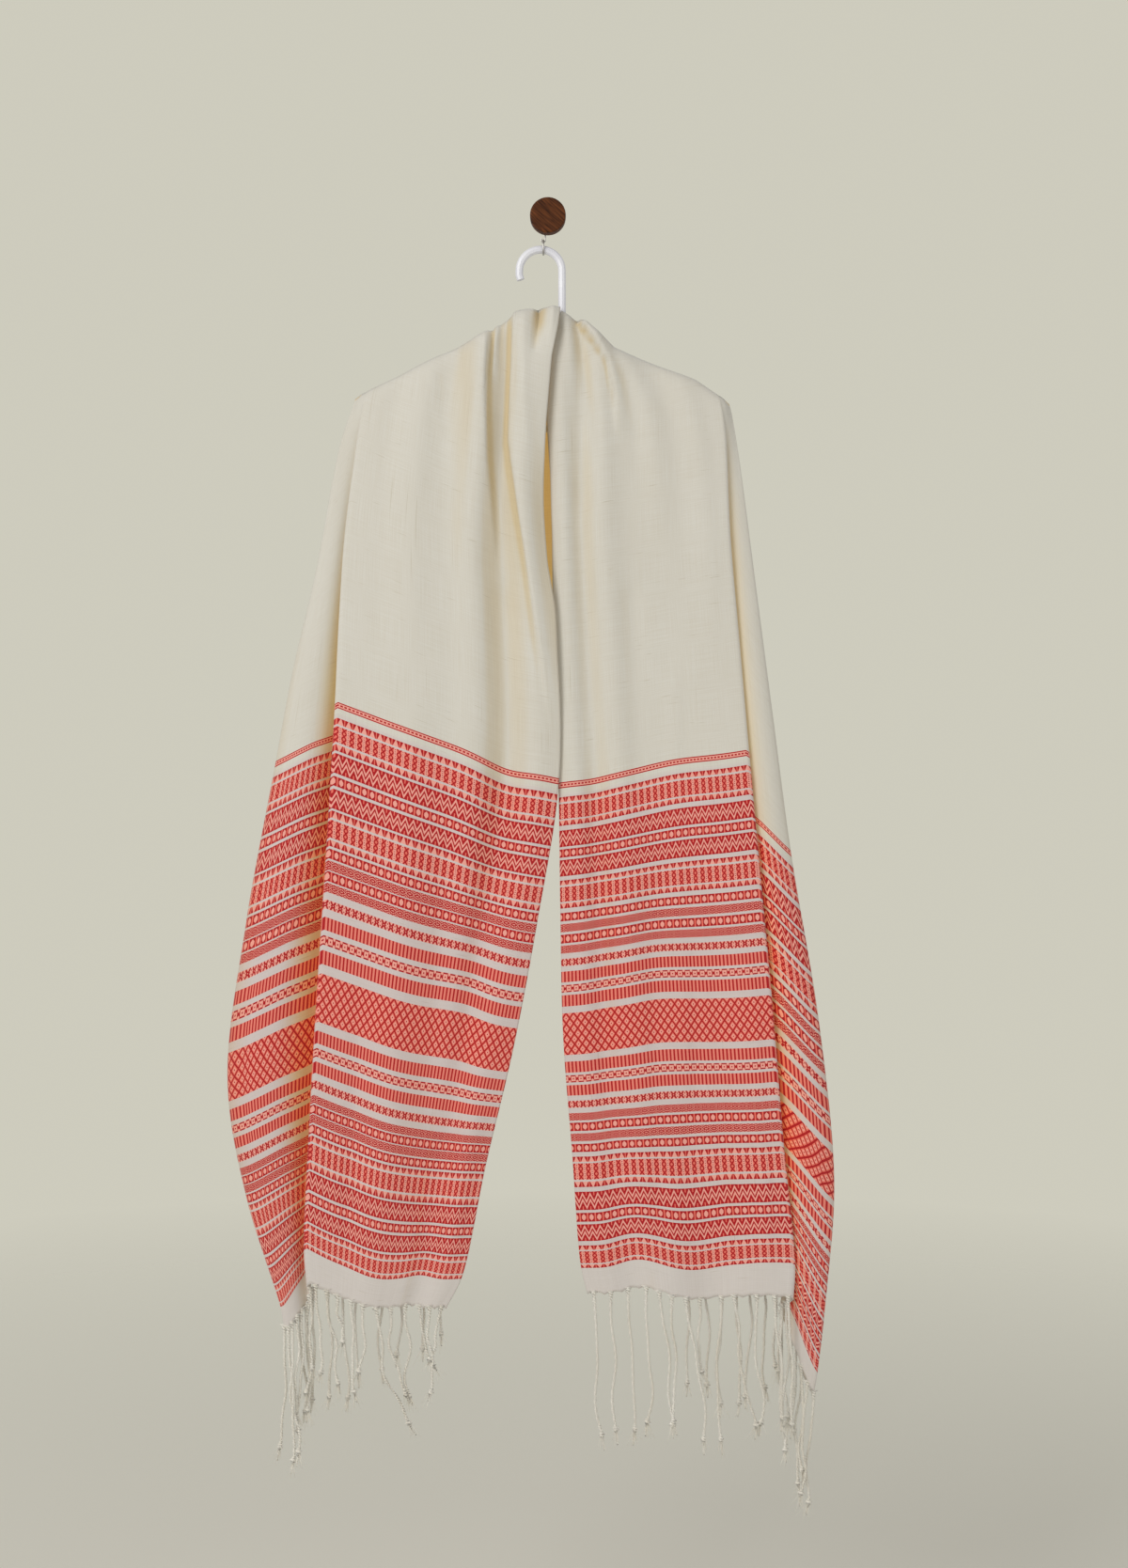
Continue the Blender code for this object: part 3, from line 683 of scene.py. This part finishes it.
def makeThreadGroup():
    # plain weave seen close: fine warp and weft, thick and thin threads, a few slubs
    group, given, result = makeGroup("clothThreads", (("UV", "NodeSocketVector", None),),
                                     (("Tone", "NodeSocketFloat"), ("Slubs", "NodeSocketFloat"),
                                      ("Height", "NodeSocketFloat")))
    vector = given.outputs["UV"]
    warp = noise(group, stretched(group, vector, 1500, 18), 1.0, 2.0)
    weft = noise(group, stretched(group, vector, 18, 1500), 1.0, 2.0)
    broad = noise(group, stretched(group, vector, 9, 5), 1.0, 3.0)
    thickWeft = noise(group, stretched(group, vector, 30, 620), 1.0, 1.0)
    thickWarp = noise(group, stretched(group, vector, 420, 7), 1.0, 1.0)
    slubs = calc(group, "MAXIMUM", ramp(group, thickWeft, 0.70, 0.78), ramp(group, thickWarp, 0.73, 0.80))
    tone = total(group, [calc(group, "MULTIPLY", warp, 0.4), calc(group, "MULTIPLY", weft, 0.4),
                         calc(group, "MULTIPLY", broad, 0.2)])
    split = group.nodes.new("ShaderNodeSeparateXYZ")
    group.links.new(vector, split.inputs[0])
    perMetre = 2 * math.pi / 0.0011  # one over and under of the weave in 1.1 mm
    overWarp = calc(group, "SINE", calc(group, "MULTIPLY", split.outputs[0], perMetre))
    overWeft = calc(group, "SINE", calc(group, "MULTIPLY", split.outputs[1], perMetre))
    weave = calc(group, "MULTIPLY", calc(group, "MULTIPLY", overWarp, overWeft), 0.25)
    height = total(group, [weave, tone, calc(group, "MULTIPLY", slubs, 0.5)])
    group.links.new(tone, result.inputs["Tone"])
    group.links.new(slubs, result.inputs["Slubs"])
    group.links.new(height, result.inputs["Height"])
    return group


bandGroup = makeBandGroup()
threadGroup = makeThreadGroup()


def startMaterial(name, roughness, colour):
    material = bpy.data.materials.new(name)
    material.use_nodes = True
    shader = material.node_tree.nodes["Principled BSDF"]
    shader.inputs["Roughness"].default_value = roughness
    material.diffuse_color = (*colour, 1.0)
    return material, material.node_tree, shader


def attributeValue(tree, name):
    node = tree.nodes.new("ShaderNodeAttribute")
    node.attribute_name = name
    return node.outputs["Fac"]


def placeGroup(tree, group):
    node = tree.nodes.new("ShaderNodeGroup")
    node.node_tree = group
    return node


def bump(tree, height, strength, distance):
    node = tree.nodes.new("ShaderNodeBump")
    node.inputs["Strength"].default_value = strength
    node.inputs["Distance"].default_value = distance
    tree.links.new(height, node.inputs["Height"])
    return node.outputs["Normal"]


shawlLook = {
    "ivory": (0.765, 0.74, 0.665),
    "ivoryShade": (0.70, 0.66, 0.565),
    "whiteHem": (0.75, 0.70, 0.66),
    "hemShade": (0.69, 0.635, 0.59),
    "crimson": (0.52, 0.014, 0.018),
    "crimsonShade": (0.44, 0.008, 0.012),
    "pink": (0.93, 0.225, 0.165),
    "pinkShade": (0.88, 0.175, 0.125),
    "stripe": (0.73, 0.645, 0.62),
    "stripeShade": (0.67, 0.575, 0.55),
    "palePink": (0.95, 0.42, 0.34),
    "fleck": (0.60, 0.52, 0.36),
    "fleckStrength": 0.35,
    "paintedShadeAndGlowTint": (0.90, 0.70, 0.34),  # the warm tint of painted shade in hollows and of painted light where the cloth is lit from behind
    "paintedShadeStrength": 0.62,
    "daylight": (0.90, 0.62, 0.24),  # light that comes through the cloth
    "daylightStrength": 0.40,
    "bandStart": (0.587, 0.594),  # cloth length over which the plain cloth gives way to the band
    "hemStart": (1.117, 1.120),
}


def makeShawlMaterial():
    material, tree, shader = startMaterial("shawlCotton", 0.88, shawlLook["ivory"])
    uvNode = tree.nodes.new("ShaderNodeUVMap")
    uvNode.uv_map = "cloth"
    split = tree.nodes.new("ShaderNodeSeparateXYZ")
    tree.links.new(uvNode.outputs[0], split.inputs[0])
    threads = placeGroup(tree, threadGroup)
    tree.links.new(uvNode.outputs[0], threads.inputs["UV"])
    woven = placeGroup(tree, bandGroup)
    tree.links.new(split.outputs[0], woven.inputs["Across"])
    tree.links.new(split.outputs[1], woven.inputs["Along"])
    tone = ramp(tree, threads.outputs["Tone"], 0.38, 0.62)
    plain = blendColour(tree, tone, shawlLook["ivoryShade"], shawlLook["ivory"])
    hem = blendColour(tree, tone, shawlLook["hemShade"], shawlLook["whiteHem"])
    stripe = blendColour(tree, tone, shawlLook["stripeShade"], shawlLook["stripe"])
    length = calc(tree, "ABSOLUTE", split.outputs[1])
    inBand = ramp(tree, length, *shawlLook["bandStart"])
    atHem = ramp(tree, length, *shawlLook["hemStart"])
    white = blendColour(tree, inBand, plain, blendColour(tree, atHem, stripe, hem))
    pink = blendColour(tree, tone, shawlLook["pinkShade"], shawlLook["pink"])
    ground = blendColour(tree, woven.outputs["Pale"], pink, shawlLook["palePink"])
    colour = blendColour(tree, woven.outputs["Ground"], white, ground)
    red = blendColour(tree, tone, shawlLook["crimsonShade"], shawlLook["crimson"])
    colour = blendColour(tree, woven.outputs["Motif"], colour, red)
    flecks = calc(tree, "MULTIPLY", threads.outputs["Slubs"], shawlLook["fleckStrength"])
    colour = blendColour(tree, flecks, colour, shawlLook["fleck"], "MULTIPLY")
    facing = tree.nodes.new("ShaderNodeSeparateXYZ")
    tree.links.new(tree.nodes.new("ShaderNodeNewGeometry").outputs["Normal"], facing.inputs[0])
    # only faces turned to the front show the light that comes through
    toFront = ramp(tree, facing.outputs[1], 0.5, -0.1)
    litThrough = calc(tree, "MULTIPLY", attributeValue(tree, "inside"), toFront)
    # painted shade: hollows of the folds and lit-through cloth both take a darker warm tint in the base
    # colour
    hollow = calc(tree, "MULTIPLY", attributeValue(tree, "hollow"), shawlLook["paintedShadeStrength"])
    glow = blendColour(tree, 1.0, colour, shawlLook["daylight"], "MULTIPLY")
    tree.links.new(glow, shader.inputs["Emission Color"])
    tree.links.new(calc(tree, "MULTIPLY", litThrough, shawlLook["daylightStrength"]),
                   shader.inputs["Emission Strength"])
    colour = blendColour(tree, calc(tree, "ADD", hollow, litThrough), colour, shawlLook["paintedShadeAndGlowTint"], "MULTIPLY")
    tree.links.new(colour, shader.inputs["Base Color"])
    motifHeight = calc(tree, "MULTIPLY", woven.outputs["Motif"], 0.8)
    raised = calc(tree, "ADD", threads.outputs["Height"], motifHeight)
    tree.links.new(bump(tree, raised, 0.35, 0.0004), shader.inputs["Normal"])
    shader.inputs["Sheen Weight"].default_value = 0.25
    shader.inputs["Sheen Roughness"].default_value = 0.5
    shader.inputs["Specular IOR Level"].default_value = 0.25
    return material


shawlMaterial = makeShawlMaterial()
print("cloth material ready")


def scallopHem(half):
    # the cut end dips where the warp is gathered into each cord
    rows = cloth["rowSteps"][-1]
    pull = cloth["scallop"] * np.abs(np.sin(math.pi * half["across"][0] / cloth["scallopWidth"])) ** 0.7
    for i in range(rows + 1):
        half["grid"][-1 - rows + i, :, 2] += (pull - cloth["scallop"] / 2) * (i / rows) ** 3


# where the painted shade of the hollows and the painted light through the cloth start, and how they grow
paintedShadeAndGlow = {
    "reach": (4, 2),  # columns looked at on both sides, among the columns near the neck and beyond
    "hollow": (2.2, 8.0),  # mm behind the neighbours where the painted shade of a hollow starts, and its growth
    "pastFold": (0.001, 0.005),  # metres past the fold where the glow starts, and its growth
    "level": (230, 160),  # mm below the knob where it starts, and its growth
    "aboveHem": (-1.115, 0.05),  # minus the cloth length, so that it fades towards the hem
}


def paintedShadeOf(half):
    # how deep a point lies behind its neighbours to the left and right, as the amount of painted shade there
    depth = half["grid"][:, :, 1]
    hollow = np.zeros_like(depth)
    start, growth = paintedShadeAndGlow["hollow"]
    dense = round(cloth["frontColumns"] * cloth["nearNeck"][0])
    for reach, columns in zip(paintedShadeAndGlow["reach"], (slice(0, dense), slice(dense, None))):
        padded = np.pad(depth, ((0, 0), (reach, reach)), "edge")
        front = np.minimum(padded[:, :-2 * reach], padded[:, 2 * reach:])
        hollow[:, columns] = np.clip((depth - front - start) / growth, 0, 1)[:, columns]
    return hollow


def glowOf(half):
    # where daylight comes through the cloth beside the fold of the front
    grid, across = half["grid"], half["across"]
    place, spread, strength = half["glow"]
    near = strength * np.exp(-((across - place) / spread) ** 2)
    for label, distance in (("pastFold", across - half["widths"][0]), ("level", -grid[:, :, 2]),
                            ("aboveHem", -half["along"])):
        start, growth = paintedShadeAndGlow[label]
        near *= np.clip((distance - start) / growth, 0, 1)
    return near


def makeShawl():
    points, faces, uv, hollow, inside = [], [], [], [], []
    for half in (left, right):
        scallopHem(half)
        grid = half["grid"]
        faces += gridFaces(len(points), *grid.shape[:2], flip=half["side"] == "left")
        points += grid.reshape(-1, 3).tolist()
        along = half["along"] * (-1 if half["side"] == "left" else 1)
        uv += np.stack([half["across"], along], axis=2).reshape(-1, 2).tolist()
        hollow += paintedShadeOf(half).ravel().tolist()
        inside += glowOf(half).ravel().tolist()
    grid, across, along = swagGrid()
    faces += gridFaces(len(points), *grid.shape[:2])
    points += grid.reshape(-1, 3).tolist()
    uv += np.stack([across, along], axis=2).reshape(-1, 2).tolist()
    hollow += [0.0] * (grid.shape[0] * grid.shape[1])
    start, growth = swag["inside"]
    down = np.clip((np.linspace(0, 1, grid.shape[0]) - start) / growth, 0, 1)
    inside += np.repeat(down, grid.shape[1]).tolist()
    # hollow holds the amount of painted shade in the folds, inside the painted light that comes through the
    # cloth
    marks = {"hollow": hollow, "inside": inside}
    piece = makeMesh("shawl", points, faces, shawlMaterial, uv, marks)
    weldSeams(piece, 0.05)
    applyModifier(piece, "SOLIDIFY", thickness=cloth["thickness"] * mm, offset=0.0, use_even_offset=False)
    piece.data.shade_smooth()
    return piece


shawl = makeShawl()
print("shawl has", len(shawl.data.polygons), "faces")


# The fringe of twisted cords, in millimetres. Each cord: place along the hem as cloth width in
# metres, sideways drift, drop, wave.
fringe = {
    "radius": 2.25,
    "plyDepth": 0.26,  # how deep the groove between the two plies runs, as a share of the radius
    "twist": 6.5,  # length of one turn of the plies
    "step": 2.4,
    "sides": 8,
    "gather": (1.9, 4.0),  # how much wider a cord starts, and the length over which it narrows
    "rootRise": 1.5,  # cords start this far above the cut end
    "knotPlace": 0.90,  # share of a cord's length
    "knotSize": 1.15,
    "knotLength": 2.6,
    "tailTaper": 0.55,
    "fibres": 9,
    "fibreSpread": (0.28, 0.20),
    "fibreLengths": (12, 21),
    "fibreRadius": 0.42,
    "left": ((0.008, -14, 66, 3), (0.030, 2, 106, 5), (0.050, 18, 74, 4), (0.074, 4, 114, 5),
             (0.100, 14, 108, 8), (0.126, 38, 142, 9), (0.150, -4, 84, 5), (0.172, 5, 113, 3),
             (0.196, 6, 60, 4), (0.216, 16, 116, 5), (0.236, 6, 108, 4), (0.258, 4, 100, 4),
             (0.280, -2, 120, 5), (0.302, 3, 135, 3), (0.324, -3, 150, 4), (0.346, 2, 128, 5),
             (0.368, 6, 160, 6), (0.390, 4, 166, 5), (0.410, -4, 150, 4), (0.440, 5, 150, 5),
             (0.462, -5, 158, 4), (0.484, 3, 150, 4), (0.506, 4, 162, 5), (0.528, -3, 150, 5),
             (0.550, 3, 156, 4), (0.572, -2, 148, 5), (0.592, 4, 152, 4), (0.612, 2, 140, 4)),
    "right": ((0.008, 8, 178, 5), (0.028, 6, 172, 4), (0.049, 6, 176, 4), (0.071, 3, 168, 6),
              (0.086, 22, 160, 7), (0.101, 4, 160, 5), (0.118, 24, 176, 7), (0.135, 2, 92, 4),
              (0.161, -3, 178, 5), (0.176, 22, 160, 6), (0.203, 5, 158, 6), (0.224, 8, 150, 5),
              (0.240, 4, 160, 4), (0.262, -3, 150, 4), (0.284, 4, 140, 4), (0.306, 3, 150, 4),
              (0.328, -3, 140, 5), (0.350, 0, 132, 4), (0.368, -8, 140, 5), (0.385, -10, 138, 4),
              (0.404, -6, 146, 5), (0.426, 4, 150, 5), (0.448, -5, 140, 4), (0.470, 4, 152, 5),
              (0.492, 3, 160, 4), (0.514, -5, 150, 5), (0.536, 4, 156, 4), (0.558, -3, 162, 5),
              (0.582, 5, 150, 4), (0.606, 2, 160, 4)),
    "plain": (0.80, 0.74, 0.60),
    "lowColour": (0.76, 0.71, 0.60),
    "highColour": (0.92, 0.89, 0.81),
    # painted light: the cords glow a little in their own colour so their shaded sides read lighter
    "paintedGlow": 0.08,
}


def cordPath(root, drift, drop, wave):
    count = max(8, int(drop / fringe["step"]))
    phase = [chance.uniform(0, 2 * math.pi) for _ in range(4)]
    turns = [chance.uniform(0.7, 1.5), chance.uniform(1.8, 2.8)]
    lean = chance.uniform(-3, 3)
    path = []
    for i in range(count + 1):
        f = i / count
        grow = min(1.0, f * 3) * (0.5 + 0.5 * f)
        swing = math.sin(phase[0] + 2 * math.pi * turns[0] * f) - math.sin(phase[0]) * (1 - f)
        sway = wave * 0.7 * swing * grow
        ripple = wave * 0.28 * math.sin(phase[1] + 2 * math.pi * turns[1] * f) * grow
        depth = wave * 0.35 * math.sin(phase[2] + 2 * math.pi * turns[0] * f) * grow + lean * f
        path.append(root + (drift * f ** 1.2 + sway + ripple, depth, -drop * f))
    return np.array(path)


def sweepCord(path, points, faces):
    # two plies twisted round each other, gathered wide at the hem and swelling at the knot
    knot = fringe["knotPlace"]
    lengths = np.concatenate([[0], np.cumsum(np.linalg.norm(np.diff(path, axis=0), axis=1))])
    tangents = np.gradient(path, axis=0)
    tangents /= np.linalg.norm(tangents, axis=1, keepdims=True)
    start = len(points)
    sides = fringe["sides"]
    widest, gatherLength = fringe["gather"]
    turnStart = chance.uniform(0, math.pi)
    for spot, tangent, length in zip(path, tangents, lengths):
        f = length / lengths[-1]
        sideways = np.cross(tangent, (0, -1, 0))
        sideways /= np.linalg.norm(sideways)
        ahead = np.cross(sideways, tangent)
        fromKnot = (length - knot * lengths[-1]) / fringe["knotLength"]
        swell = 1 + fringe["knotSize"] * math.exp(-fromKnot ** 2)
        thin = 1 - fringe["tailTaper"] * max(0.0, f - knot) / (1 - knot)
        gather = 1 + widest * math.exp(-length / gatherLength)
        angle = turnStart + 2 * math.pi * length / fringe["twist"]
        for side in range(sides):
            theta = 2 * math.pi * side / sides
            ply = 1 + fringe["plyDepth"] * (math.cos(2 * theta) - 1)
            radius = fringe["radius"] * ply * swell * thin
            a, b = radius * math.cos(theta + angle), radius * math.sin(theta + angle)
            points.append(spot + sideways * a * gather + ahead * b)
    rings = len(path)
    for ring in range(rings - 1):
        for side in range(sides):
            a, b = start + ring * sides + side, start + ring * sides + (side + 1) % sides
            faces.append((a, a + sides, b + sides, b))
    faces.append(tuple(start + side for side in range(sides)))
    faces.append(tuple(start + (rings - 1) * sides + side for side in reversed(range(sides))))
    return path[int(knot * (rings - 1))], tangents[-1]


def addFibre(root, direction, length, radius, points, faces):
    # one frayed thread: three sides and four rings, thinning towards its end
    start = len(points)
    sag = Vector((chance.uniform(-2, 2), chance.uniform(-2, 2), -2.0))
    for ring in range(4):
        f = ring / 3
        spot = root + np.array(direction) * length * f + np.array(sag) * f * f
        size = radius * (1 - 0.7 * f)
        for side in range(3):
            theta = 2 * math.pi * side / 3
            points.append(spot + (size * math.cos(theta), size * math.sin(theta), 0))
    for ring in range(3):
        for side in range(3):
            a, b = start + ring * 3 + side, start + ring * 3 + (side + 1) % 3
            faces.append((a, a + 3, b + 3, b))
    faces.append((start, start + 1, start + 2))
    faces.append((start + 11, start + 10, start + 9))


def makeFringe(half, material):
    hem = half["grid"][-1]
    across = half["across"][-1]
    points, faces = [], []
    for place, drift, drop, wave in fringe[half["side"]]:
        root = np.array([np.interp(place, across, hem[:, axis]) for axis in range(3)])
        root[2] += fringe["rootRise"]
        path = cordPath(root, drift, drop, wave)
        knot, tangent = sweepCord(path, points, faces)
        for _ in range(fringe["fibres"]):
            sideways, forwards = fringe["fibreSpread"]
            direction = tangent + (chance.gauss(0, sideways), chance.gauss(0, forwards), 0.0)
            direction /= np.linalg.norm(direction)
            length = chance.uniform(*fringe["fibreLengths"])
            addFibre(knot, direction, length, fringe["fibreRadius"], points, faces)
    return makeMesh(half["side"] + "_fringe", points, faces, material)


def makeCordMaterial():
    material, tree, shader = startMaterial("fringeCotton", 0.9, fringe["plain"])
    place = tree.nodes.new("ShaderNodeTexCoord").outputs["Object"]
    fine = noise(tree, stretched(tree, place, 900, 900, 900), 1.0, 2.0)
    broad = noise(tree, stretched(tree, place, 40, 40, 12), 1.0, 2.0)
    tone = calc(tree, "ADD", calc(tree, "MULTIPLY", fine, 0.5), calc(tree, "MULTIPLY", broad, 0.5))
    colour = blendColour(tree, ramp(tree, tone, 0.35, 0.65), fringe["lowColour"], fringe["highColour"])
    tree.links.new(colour, shader.inputs["Base Color"])
    # painted light: a faint glow of the cord's own colour
    tree.links.new(colour, shader.inputs["Emission Color"])
    shader.inputs["Emission Strength"].default_value = fringe["paintedGlow"]
    tree.links.new(bump(tree, fine, 0.4, 0.0003), shader.inputs["Normal"])
    shader.inputs["Sheen Weight"].default_value = 0.3
    shader.inputs["Specular IOR Level"].default_value = 0.2
    return material


cordMaterial = makeCordMaterial()
leftFringe = makeFringe(left, cordMaterial)
rightFringe = makeFringe(right, cordMaterial)
print("fringe cords:", len(fringe["left"]) + len(fringe["right"]))


# the hanger's plastic, the knob's wood and the ring's metal
hangerLook = {
    "plain": (0.86, 0.86, 0.90),
    "cloud": ((0.80, 0.80, 0.86), (0.90, 0.90, 0.94)),
}
knobLook = {
    "plain": (0.10, 0.035, 0.015),
    "grainAngle": -42,
    "grain": ((0.030, 0.008, 0.002), (0.17, 0.052, 0.014)),
    "pores": (0.016, 0.006, 0.003),
    "shine": 0.15,
}
ringLook = {
    "plain": (0.55, 0.53, 0.50),
    "worn": ((0.36, 0.34, 0.31), (0.66, 0.64, 0.60)),
}


def makePlasticMaterial():
    material, tree, shader = startMaterial("hangerPlastic", 0.38, hangerLook["plain"])
    place = tree.nodes.new("ShaderNodeTexCoord").outputs["Object"]
    cloud = noise(tree, place, 30.0, 3.0)
    fine = noise(tree, place, 900.0, 2.0)
    colour = blendColour(tree, ramp(tree, cloud, 0.35, 0.65), *hangerLook["cloud"])
    tree.links.new(colour, shader.inputs["Base Color"])
    tree.links.new(ramp(tree, fine, 0.0, 1.9), shader.inputs["Roughness"])
    tree.links.new(bump(tree, fine, 0.08, 0.0002), shader.inputs["Normal"])
    return material


def makeWoodMaterial():
    material, tree, shader = startMaterial("knobWalnut", 0.5, knobLook["plain"])
    place = tree.nodes.new("ShaderNodeTexCoord").outputs["Object"]
    turned = tree.nodes.new("ShaderNodeMapping")
    turned.inputs["Rotation"].default_value = (0, math.radians(knobLook["grainAngle"]), 0)
    tree.links.new(place, turned.inputs["Vector"])
    grain = noise(tree, stretched(tree, turned.outputs[0], 45, 120, 620), 1.0, 4.0, 0.6)
    pores = noise(tree, stretched(tree, turned.outputs[0], 45, 120, 1900), 1.0, 2.0)
    colour = blendColour(tree, ramp(tree, grain, 0.35, 0.68), *knobLook["grain"])
    colour = blendColour(tree, ramp(tree, pores, 0.60, 0.72), colour, knobLook["pores"])
    tree.links.new(colour, shader.inputs["Base Color"])
    tree.links.new(bump(tree, grain, 0.25, 0.0004), shader.inputs["Normal"])
    shader.inputs["Specular IOR Level"].default_value = knobLook["shine"]
    return material


def makeSteelMaterial():
    material, tree, shader = startMaterial("ringSteel", 0.3, ringLook["plain"])
    place = tree.nodes.new("ShaderNodeTexCoord").outputs["Object"]
    worn = noise(tree, place, 900.0, 3.0)
    colour = blendColour(tree, ramp(tree, worn, 0.3, 0.7), *ringLook["worn"])
    tree.links.new(colour, shader.inputs["Base Color"])
    tree.links.new(ramp(tree, worn, -0.3, 1.6), shader.inputs["Roughness"])
    shader.inputs["Metallic"].default_value = 1.0
    return material


def paint(node, material):
    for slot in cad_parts[node].material_slots:
        slot.material = material


plastic, walnut, steel = makePlasticMaterial(), makeWoodMaterial(), makeSteelMaterial()
for node, material in (("hanger_arms", plastic), ("hanger_hook", plastic), ("wall_knob", walnut),
                       ("cup_hook", steel), ("hanging_ring", steel)):
    paint(node, material)


# what each new piece rides, and which CAD nodes it stands for
for piece in (shawl, leftFringe, rightFringe):
    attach(piece, "root")
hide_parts("back_swag", *(f"{side}_{stretch}_panel" for side in ("left", "right")
                                  for stretch in ("front", "side", "back")))
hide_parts(*(f"left_{stretch}_fringe" for stretch in ("front", "side", "back")))
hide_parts(*(f"right_{stretch}_fringe" for stretch in ("front", "side", "back")))


# the floor, the lights and the camera
studio = {
    "floorLevel": -1.80,
    "floorRadius": 6,
    "pale": (0.88, 0.86, 0.76),
    "fade": (1.0, 3.4),  # the floor thins away between these distances
    "backdrop": (0.615, 0.60, 0.51),
    "ambient": (0.44, 0.435, 0.42),
    "windowLight": {"place": (-2.1, -2.7, 0.9), "target": (0, 0, -0.6), "size": (1.8, 2.2),
                    "power": 60, "colour": (1.0, 0.99, 0.98)},
    "fillLight": {"place": (2.6, -2.2, -0.2), "target": (0, 0, -0.7), "size": (2.0, 2.4),
                  "power": 13, "colour": (0.99, 0.99, 1.0)},
    "cameraDistance": 2.2,
    "sensor": 36,
    "clothPlane": -0.05,
    "aim": (0.018, -0.635),
    "frameHeight": 1.743,
}


def makeFloor():
    bpy.ops.mesh.primitive_circle_add(vertices=64, radius=studio["floorRadius"], fill_type="NGON",
                                      location=(0, 0, studio["floorLevel"]))
    floor = bpy.context.object
    floor.name = "floor"
    material, tree, shader = startMaterial("floorPale", 0.9, studio["pale"])
    shader.inputs["Base Color"].default_value = (*studio["pale"], 1.0)
    far = tree.nodes.new("ShaderNodeVectorMath")
    far.operation = "LENGTH"
    tree.links.new(tree.nodes.new("ShaderNodeTexCoord").outputs["Object"], far.inputs[0])
    solid = calc(tree, "SUBTRACT", 1.0, ramp(tree, far.outputs["Value"], *studio["fade"]))
    tree.links.new(solid, shader.inputs["Alpha"])
    floor.data.materials.append(material)


def addLight(name):
    look = studio[name]
    data = bpy.data.lights.new(name, "AREA")
    data.shape = "RECTANGLE"
    data.size, data.size_y = look["size"]
    data.energy = look["power"]
    data.color = look["colour"]
    light = bpy.data.objects.new(name, data)
    light.location = look["place"]
    aim = Vector(look["target"]) - Vector(look["place"])
    light.rotation_euler = aim.to_track_quat("-Z", "Y").to_euler()
    bpy.context.scene.collection.objects.link(light)


def lightWorld():
    # a soft even light, and a plain backdrop where the camera looks past the object
    world = bpy.data.worlds.new("studio")
    world.use_nodes = True
    sky = world.node_tree
    cameraRay = sky.nodes.new("ShaderNodeLightPath").outputs["Is Camera Ray"]
    seen = blendColour(sky, cameraRay, studio["ambient"], studio["backdrop"])
    sky.links.new(seen, sky.nodes["Background"].inputs["Color"])
    bpy.context.scene.world = world


def placeCamera():
    camera = bpy.data.objects.new("camera", bpy.data.cameras.new("camera"))
    camera.data.sensor_fit = "AUTO"
    camera.data.sensor_width = studio["sensor"]
    camera.data.lens = studio["sensor"] * studio["cameraDistance"] / studio["frameHeight"]
    across, level = studio["aim"]
    camera.location = (across, studio["clothPlane"] - studio["cameraDistance"], level)
    camera.rotation_euler = (math.radians(90), 0, 0)
    bpy.context.scene.collection.objects.link(camera)
    bpy.context.scene.camera = camera


makeFloor()
addLight("windowLight")
addLight("fillLight")
lightWorld()
bpy.context.scene.view_settings.view_transform = "Standard"
placeCamera()
print("studio ready")
